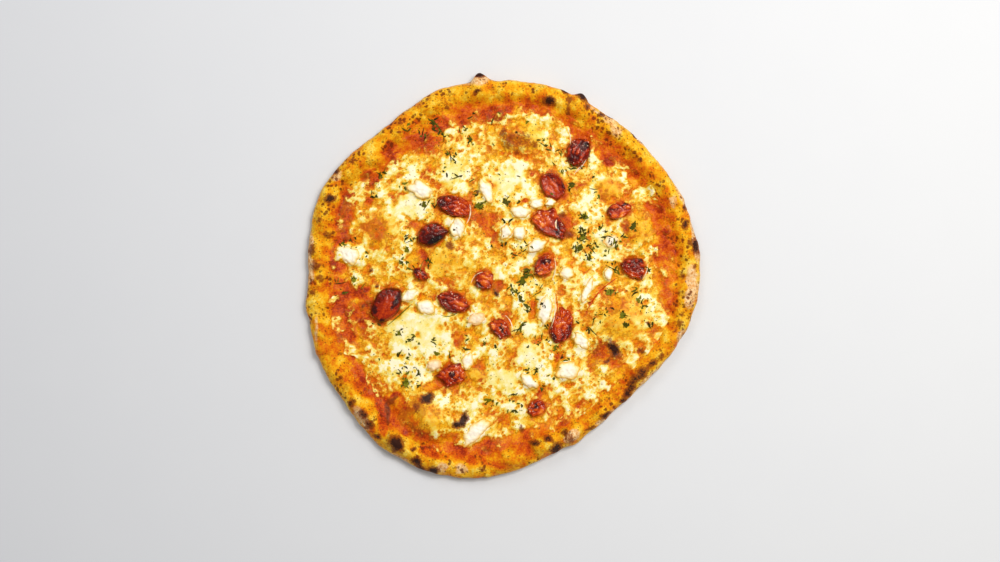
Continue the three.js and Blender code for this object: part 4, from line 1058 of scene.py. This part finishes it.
def pushOut(lump, places, normal, depth):
    writePlan(lump, [place + part * depth for place, part in zip(places, normal)])


def folds(x, y, z, size, layer):  # cushions between creases: 0 in a crease
    return np.array([abs(noise.noise(place)) for place in zip(x / size, y / size, z / size + layer * 7.3)])


tomatoPlan = {
    "level": 6,
    "uneven": 0.08,
    "square": 0.86,
    "dome": 0.75,
    "sunk": 1.6,
    "stretch": 1.5,  # the folds are that much longer than wide
    "wideFolds": 3.4,
    "fineFolds": 1.5,
    "foldDepths": (1.3, 0.25, -0.35),  # of the wide and the fine ones, and of the whole skin
    "foldShadingMarks": (1.8, 0.6),  # how strongly they show as painted shading: darker in the creases, lighter on the ridges
    "smoother": {2: 0.7, 4: 0.6, 11: 0.4},  # how deep the folds are, and how strongly their painted shading and painted glints show, by number of the tomato
    "hollow": (0.82, 0.3),  # where a sunk face begins, and where it is deepest
    "lip": 0.25,  # of the height, round a sunk face
    "lipAt": (0.86, 0.1),
    "sideDarkening": 0.4,
    "sideDarkeningAt": (0.45, 0.15),  # it comes in below the first of these heights
}
# Charred skin: from none, 0, to black, 1.
charStrokes = {
    0.55: [(54, 91, 5, 6, 65), (37, 74, 11, 1.8, -40), (-41, 48, 9, 1.6, -28), (-57, 33, 7, 5, 20),
        (84.5, 51, 4.5, 3), (30, 34, 4, 2, -30), (28, 4, 3, 3), (98, 5, 4, 4), (-17, -8, 4, 4),
        (-45, -18, 4, 3), (-64, 2, 4, 3), (-3, -42, 3, 3), (51, -42, 3, 6), (45, -48, 7, 2, 10),
        (-36, -79, 4, 3), (24, -101, 4, 3)],
    0.85: [(61, 98, 4, 4.5, 60), (52, 88, 2, 3), (46.5, 70, 1.4, 6, 10), (-46.5, 54, 2.6, 5, -20),
        (-53, 27, 8, 4.4, 22), (92.5, 54, 3, 1.5, 15), (41.6, 37, 1.3, 4.5, 10), (32.3, 10.6, 4.4, 2.8, 20),
        (103.5, 12, 3, 2.2, -20), (-19, -7, 2, 3, 30), (-81, -19, 9, 2, 62), (-97.5, -26, 2.2, 4),
        (-92, -35, 3, 2), (-66, 3, 2, 1.6), (-1, -40, 1.8, 4, 15), (37.5, -47, 3, 3, 30),
        (-39, -75.5, 3, 2.4, 40), (25, -99, 1.6, 2)],
    1.0: [(-51, 27, 5, 2.4, 22), (40.8, 31.9, 1.8, 1.6), (63.4, 99.5, 1.6, 2.4, 40),
        (33, 10.5, 2.4, 1.2, 20), (104, 12.5, 1.6, 1, -20)],
}
# Bright flesh and skin: 0 is the darkest red.
fleshStrokes = {
    0.45: [(37, 66, 12, 9, -52), (29, 40, 10, 9, -30), (34, 6, 7, 9, 60), (-15, -4, 7, 7),
        (46, -31, 6, 12, 70), (-37, -76, 9, 7), (26, -101, 7, 7), (1, -38, 7, 6), (-30, 52, 8, 8),
        (90, 49, 10, 6, 15), (97, 1, 8, 5, -20)],
    0.7: [(-89, -28, 7, 12, -28)],
    0.8: [(36.5, 66.5, 8, 4, -52), (-31, 52, 5, 5), (90, 46, 6, 3), (29, 41, 9, 5, -28),
        (41, 47, 2.4, 5, 20), (36, 12, 2.6, 6, 30), (30, 3, 4, 3), (97, 0, 5, 3, -30), (-13, -2, 4, 4),
        (-33, -22, 5, 3, -22), (-6, -38, 3, 3), (43, -30, 3, 6, 10), (44, -36, 5, 5), (-34, -71, 3, 3),
        (-44, -76, 4, 2), (28, -102, 3, 3)],
}
tomatoLook = Look("roastedTomato", rough=0.15, shine=0.28)
# ripe is lighter on the fold ridges and darker in the creases: a painted shading of the folds
ripe = tomatoLook.sum((tomatoLook.painted("flesh"), 0.3), (tomatoLook.grain(1.4, 3, 0.6), 0.45),
                      (tomatoLook.grain(6, 2), 0.25), (tomatoLook.painted("foldShading"), 0.28))
skinTint = tomatoLook.ramp(ripe, (0.36, "4a0a02"), (0.5, "861802"), (0.64, "ae3004"), (0.8, "d05208"),
                           (1.0, "f09028"))
# charred also comes in more in the fold creases: painted shade
charred = tomatoLook.sum((tomatoLook.painted("char"), 1.0), (tomatoLook.grain(1.6, 3, 0.6), 0.6),
                         (tomatoLook.painted("foldShading"), -0.3))
skinTint = tomatoLook.over(skinTint, "46080a", charred, 0.5, 0.95)
skinTint = tomatoLook.over(skinTint, "180e10", charred, 1.0, 1.2)
# painted highlight: pale pink glint specks painted into the skin colour, fewer on the smoother tomatoes
paintedGlint = tomatoLook.times(tomatoLook.painted("shine"), tomatoLook.patches((1.9, 0.26, 0.75), 6, 0.46, 0.58, 1))
skinTint = tomatoLook.over(skinTint, "ffceb4", paintedGlint, most=0.8)
tomatoLook.finish(skinTint, (tomatoLook.grain(0.9, 2), 1.0), (tomatoLook.grain(2.2, 2), 0.8), depth=0.25)
tomatoes = []
for number, (turn, sunkFace, corners) in enumerate(toppingShapes["tomato"], 1):
    node = f"tomato_{number:02d}"
    tomato, (x, y, z), normal, share, crown = roundLump(node, turn, corners, tomatoPlan, 80.0 + number)
    tall = np.ptp(z) - tomatoPlan["sunk"]
    hollow = sunkFace * tall * ease(share, *tomatoPlan["hollow"])
    lipAt, lipWide = tomatoPlan["lipAt"]
    lip = tomatoPlan["lip"] * tall * min(1, 3 * sunkFace) * np.exp(-(((share - lipAt) / lipWide) ** 2))
    z = z + (lip - hollow) * (crown > 0)
    along, across = turned(x, y, turn)
    along = along / tomatoPlan["stretch"]
    wide = folds(along, across, z, tomatoPlan["wideFolds"], number)
    fine = folds(along, across, z, tomatoPlan["fineFolds"], number + 0.5)
    creased = tomatoPlan["smoother"].get(number, 1)
    wideDepth, fineDepth, skinDepth = tomatoPlan["foldDepths"]
    crease = creased * (wideDepth * wide + fineDepth * fine + skinDepth) * np.clip(tall / 5, 0.5, 1)
    pushOut(tomato, (x, y, z), normal, crease)
    warpX, warpY = warped(x, y, 3, 1.0, 90.0)
    # darker low on the sides of each tomato, set by height on its dome, added to the char attribute
    sideDarkening = tomatoPlan["sideDarkening"] * ease(crown, *tomatoPlan["sideDarkeningAt"]) * (crown > 0)
    wideMark, fineMark = tomatoPlan["foldShadingMarks"]
    # painted shading of the folds: high on their ridges, low in their creases
    paint(tomato, "foldShading", creased * np.clip(wideMark * wide + fineMark * fine, 0, 1.2))
    # the shine attribute sets how strongly the painted glint highlights show
    paint(tomato, "shine", np.full(len(x), ease(creased, 0.5, 1)))
    paint(tomato, "char", np.clip(dabOn(sideDarkening, warpX, warpY, charStrokes, edge=0.5), 0, 1))
    paint(tomato, "flesh", dabOn(np.zeros(len(x)), warpX, warpY, fleshStrokes, edge=0.5))
    finishPiece(tomato, f"tomato{number:02d}", tomatoLook, node)
    tomatoes.append(tomato)
print("tomatoes", len(tomatoes))

curdPlan = {
    "level": 5,
    "uneven": 0.32,
    "square": 1.0,
    "dome": 0.7,
    "sunk": 1.5,
    "dents": [(1.0, 5, 120.0), (0.6, 2.2, 150.0)],
}
curdLook = Look("freshCheese", rough=0.42)
rise = curdLook.sum((curdLook.painted("rise"), 0.75), (curdLook.grain(2.2, 3, 0.6), 0.5),
                    (curdLook.painted("melted"), -0.2))
curdTint = curdLook.ramp(rise, (0.3, "f4b640"), (0.44, "f8d678"), (0.6, "fbe9b0"), (0.78, "fef6dc"),
                         (0.92, "fffbf0"))
blush = curdLook.sum((curdLook.painted("melted"), 0.8), (curdLook.grain(3, 3), 0.5))
curdTint = curdLook.over(curdTint, "f7cfa8", blush, 0.6, 1.0, most=0.5)
curdLook.finish(curdTint, (curdLook.grain(1.5, 3, 0.6), 1.0), (curdLook.grain(4, 2), 0.5), depth=0.35)
curds = []
for number, (turn, melted, corners) in enumerate(toppingShapes["fresh_cheese"], 1):
    node = f"fresh_cheese_{number:02d}"
    curd, places, normal, share, crown = roundLump(node, turn, corners, curdPlan, 110.0 + number)
    x, y, _ = places
    dent = ripples(x, y, [(deep, size, layer + number) for deep, size, layer in curdPlan["dents"]])
    pushOut(curd, places, normal, dent * ease(crown, 0, 0.4))
    paint(curd, "rise", 1 - share ** 3)
    paint(curd, "melted", np.full(len(x), melted))
    finishPiece(curd, f"freshCheese{number:02d}", curdLook, node)
    curds.append(curd)
print("fresh cheese", len(curds))


# Chopped herbs

herbPlan = {
    "thick": 0.3,
    "lift": 0.15,
    "tilt": 0.25,
    "upward": 0.6,  # how much of each lies level instead of on the slope
    # The larger leaves: middle, full sizes, turn.
    "leaves": [
        (-61, 54.5, 6.5, 4, 60), (2.5, 56.5, 7, 5, -62), (99, 37.5, 7, 3.6, -45), (73.5, 36, 6, 2.6, 8),
        (15, -6, 10, 5, -62), (18.5, 1, 8, 4.5, 20), (8.5, -13, 8, 3, -55), (13.5, -18, 7, 3.2, 55),
        (18.5, -24, 8, 2.6, 48), (81, -13, 6.5, 4.4, 30), (91, -31, 6.5, 5, 35), (92.5, -38, 5, 4.4, 70),
        (-52, -59.5, 8, 3.2, 14), (-80, -44, 4.6, 3, 62), (-11, -96, 8.5, 5, -52), (62, 45, 6.5, 4, 80),
        (60, 30, 7, 4, 62), (58.5, 21, 6, 4, -40), (-26, 103, 5.5, 4.4, 30), (103.5, -19.5, 7, 3, 66),
        (-113.5, -4, 8, 2.8, 84), (-74, 20, 6, 4, -20), (-74, -82, 7, 4, 25), (39.5, -54, 6.5, 2.6, -40),
        (-18.5, 53, 7, 5, -55), (52, 67.5, 5.5, 3.6, -35),
    ],
    # How many flecks lie round each place.
    "flecks": {
        11: [(-54, 116), (60, 28), (61, 34), (18, 2), (65, 13), (-75, -82), (-17, 53)],
        5: [(-62, 108), (-25, 102), (-45, 107), (3, 56), (13, -5), (14, -18), (66, 22), (56, 20), (60, 45),
            (80, -13), (92, -31), (-122, 24), (86, 22), (87, 4), (-76, 10), (-11, -96), (25, -73),
            (-52, 112), (-93, 76)],
        3: [(-49, 110), (-73, 113), (-31, 110), (-42, 94), (-38, 91), (-44, 80), (-38, 87), (-92, 76),
            (-75, 68), (-99, 60), (-60, 54), (-55, 53), (-20, 63), (-34, 77), (13, 57), (28, 102), (33, 98),
            (44, 95), (46, 80), (52, 80), (62, 82), (52, 68), (70, 62), (-25, 121), (10, -13), (18, -25),
            (5, -10), (20, 23), (15, 19), (8, 16), (5, 40), (0, 24), (25, -12), (30, -21), (14, -38),
            (12, -44), (32, -39), (-57, 11), (-59, 8), (-75, 31), (-70, 26), (-72, 5), (-103, 17),
            (-114, -3), (-115, 27), (-121, -14), (-127, -7), (75, 36), (99, 37), (94, 30), (72, 22),
            (78, 17), (84, 26), (78, 27), (82, 8), (110, 5), (100, -12), (83, -11), (80, -25), (104, -19),
            (108, -26), (93, -38), (76, -31), (69, -32), (66, -42), (111, -36), (-80, -44), (-73, -50),
            (-68, -47), (-54, -50), (-80, -60), (-72, -64), (-75, -72), (-80, -75), (-66, -75), (-65, -83),
            (-15, -52), (-29, -55), (18, -70), (33, -50), (40, -54), (28, -52), (48, -61), (38, -75),
            (9, -89), (30, -86), (12, -97), (8, -105)],
        1: [(-23, 73), (12, 77), (20, 114), (10, 110), (39, 86), (66, 77), (-8, 117), (-5, 125), (-35, 34),
            (-9, 23), (26, -16), (24, -46), (-78, 13), (-108, -9), (57, -35), (-65, -53), (-42, -58),
            (-95, -62), (-98, -36), (-93, -38), (-31, -44), (-5, -53), (17, -53), (-3, -99), (7, -96),
            (37, 60), (-10, 100), (-3, 78)],
    },
    "spread": 3.2,
    "fleckLong": (2.2, 4.4),  # the least, and how much more at most
    "fleckWide": (0.8, 1.9),
    "stalks": 0.2,  # share of the flecks that are thin and long
    "crumbs": 0.6,  # for each fleck
    "crumbSpread": 8,
    "crumbLong": (0.8, 1.7),
    "crumbWide": (0.5, 1.0),
}


def herbTemplate(name, cellsLong, cellsWide, tooth, curve):
    bpy.ops.object.select_all(action="DESELECT")
    bpy.ops.mesh.primitive_grid_add(x_subdivisions=cellsLong, y_subdivisions=cellsWide, size=2)
    leaf = bpy.context.object
    leaf.name = name
    for vertex in leaf.data.vertices:
        u, v, _ = vertex.co
        wide = max(0.12, 1 - abs(u) ** 2.2) * (1 + tooth * math.sin(9 * u + 2 * v))
        vertex.co = (u, v * wide + curve * (1 - u * u), 0.25 * math.sin(2.5 * u + v))
    return leaf


draw = random.Random(7)
leafTemplate = herbTemplate("leafTemplate", 8, 4, tooth=0.3, curve=0.0)
fleckTemplate = herbTemplate("fleckTemplate", 4, 1, tooth=0.2, curve=0.6)
crumbTemplate = herbTemplate("crumbTemplate", 2, 1, tooth=0.3, curve=0.2)
surfaces = [treeOf(piece) for piece in [dough, sauce, cheese] + tomatoes + curds]
herbs = []


def layHerb(template, x, y, long, wide, turn, leafTone):
    herb = template.copy()
    herb.data = template.data.copy()
    bpy.context.collection.objects.link(herb)
    point, slope = seat(surfaces, x, y)
    tilt = [draw.uniform(-herbPlan["tilt"], herbPlan["tilt"]) for _ in range(2)]
    slope = (slope + Vector((*tilt, herbPlan["upward"]))).normalized()
    lie = slope.to_track_quat("Z", "Y").to_matrix().to_4x4()
    size = Matrix.Diagonal((long / 2 * mm, wide / 2 * mm, min(long, 3) / 2 * mm, 1))
    lift = Matrix.Translation(point + slope * herbPlan["lift"] * mm)
    herb.data.transform(lift @ lie @ Matrix.Rotation(math.radians(turn), 4, "Z") @ size)
    paint(herb, "leafTone", np.full(len(herb.data.vertices), leafTone))
    herbs.append(herb)


for x, y, long, wide, turn in herbPlan["leaves"]:
    layHerb(leafTemplate, x, y, long, wide, turn, draw.uniform(0.3, 0.75))
for count, places in herbPlan["flecks"].items():
    for midX, midY in places:
        for i in range(count):
            x, y = (draw.gauss(middle, herbPlan["spread"] / 2) for middle in (midX, midY))
            least, more = herbPlan["fleckLong"]
            long, wide = least + more * draw.random() ** 1.5, draw.uniform(*herbPlan["fleckWide"])
            if draw.random() < herbPlan["stalks"]:
                long, wide = 1.7 * long, 0.7
            layHerb(fleckTemplate, x, y, long, wide, draw.uniform(0, 360), draw.uniform(0.05, 0.6))
        for i in range(math.ceil(herbPlan["crumbs"] * count)):
            x, y = (draw.gauss(middle, herbPlan["crumbSpread"] / 2) for middle in (midX, midY))
            long, wide = draw.uniform(*herbPlan["crumbLong"]), draw.uniform(*herbPlan["crumbWide"])
            layHerb(crumbTemplate, x, y, long, wide, draw.uniform(0, 360), draw.uniform(0.0, 0.5))
for template in (leafTemplate, fleckTemplate, crumbTemplate):
    bpy.data.objects.remove(template)
pick(*herbs)
bpy.ops.object.join()
herbFlakes = bpy.context.object
applyModifier(herbFlakes, "SOLIDIFY", thickness=herbPlan["thick"] * mm, offset=0)
bpy.ops.object.shade_smooth_by_angle(angle=math.radians(50))

# Thin things that lie on top: start, bend and end of each, and its width.
stringPlan = {
    "stems": [((-70, -22), (-76, -28), (-88, -38), 1), ((-48, -30), (-42, -35), (-34, -28), 0.7),
        ((-62, 1), (-66, 6), (-60, 12), 0.6)],
    "strings": [((38, -13), (44, -26), (35.5, -41), 1.1), ((49, 111), (53, 106), (51, 100), 0.9),
        ((63, 88), (61, 83), (56, 79), 1), ((60, 84), (57, 82), (54, 77), 0.8),
        ((39, 13), (42.5, 5), (37, -4), 0.9), ((-25.5, 54), (-22.5, 46.5), (-28, 39.5), 1.1),
        ((1.5, -30.5), (8.5, -35), (7, -43), 0.9), ((-24.5, -6), (-24, 2), (-15.5, 2.5), 0.7),
        # the string from (40.5, 42) to (40.5, 35.5) lies on tomato 6 and is a painted highlight, a pale
        # streak standing in for its glint
        ((-20, -23), (-17, -27), (-24, -31), 0.8), ((40.5, 42), (38.5, 39), (40.5, 35.5), 1.5),
        ((106, -3), (111, 2), (110, 9), 0.8)],
    "lines": [((39.6, -13), (45.6, -26), (37, -41), 1), ((87, -2), (68, -10), (62, -31), 1.2),
        ((43, -24), (45, -28), (44, -33), 3)],
}


def layStrings(places):
    strings = []
    for start, bend, end, width in places:
        bpy.ops.object.select_all(action="DESELECT")
        bpy.ops.curve.primitive_nurbs_path_add(radius=1, location=(0, 0, 0))
        string = bpy.context.object
        string.data.splines[0].resolution_u = 8
        for i, point in enumerate(string.data.splines[0].points):
            t = i / 4
            x, y = (a * (1 - t) ** 2 + 2 * b * t * (1 - t) + c * t ** 2 for a, b, c in zip(start, bend, end))
            point.co = ((x + planShift[0]) * mm, (y + planShift[1]) * mm, 0, 1)
            point.radius = 1 if 0 < i < 4 else 0.3
        string.data.dimensions = "3D"
        string.data.bevel_depth = width / 2 * mm
        string.data.bevel_resolution = 2
        string.data.use_fill_caps = True
        bpy.ops.object.convert(target="MESH")
        strings.append(bpy.context.object)
    pick(*strings)
    bpy.ops.object.join()
    joined = bpy.context.object
    x, y, z = readPlan(joined)
    writePlan(joined, (x, y, heightOn(surfaces, x, y) + z))
    closeMesh(joined)
    return joined


def mottledLook(name, rough, shine, size, low, high):
    look = Look(name, rough, shine)
    look.finish(look.ramp(look.grain(size, 2), (0.4, low), (0.6, high)))
    return look


# one of these strings is a painted highlight on tomato 6
cheeseStrings = layStrings(stringPlan["strings"])
stringLook = mottledLook("cheeseString", rough=0.4, shine=0.3, size=3, low="f6d9a8", high="fff6e4")
finishPiece(cheeseStrings, "cheeseStrings", stringLook, "melted_cheese")
sauceLines = layStrings(stringPlan["lines"])
lineLook = mottledLook("sauceLine", rough=0.3, shine=0.2, size=2, low="b02a04", high="dc5c0c")
finishPiece(sauceLines, "sauceLines", lineLook, "tomato_sauce")
stems = layStrings(stringPlan["stems"])
paint(stems, "leafTone", np.full(len(stems.data.vertices), 0.6))
pick(herbFlakes, stems)
bpy.ops.object.join()
print("strings and stems")

herbLook = Look("driedHerb", rough=0.6, shine=0.12)
leafShade = herbLook.sum((herbLook.painted("leafTone"), 0.9), (herbLook.grain(1.2, 2), 0.3))
herbTint = herbLook.ramp(leafShade, (0.1, "201c04"), (0.35, "3a3806"), (0.6, "5a5c0a"), (0.85, "8c8c1c"),
                         (1.0, "bab448"))
herbLook.finish(herbTint, (herbLook.grain(0.6, 2), 1.0), depth=0.2)
finishPiece(herbFlakes, "herbFlakes", herbLook, "melted_cheese")
print("herbs", len(herbs), len(herbFlakes.data.polygons))
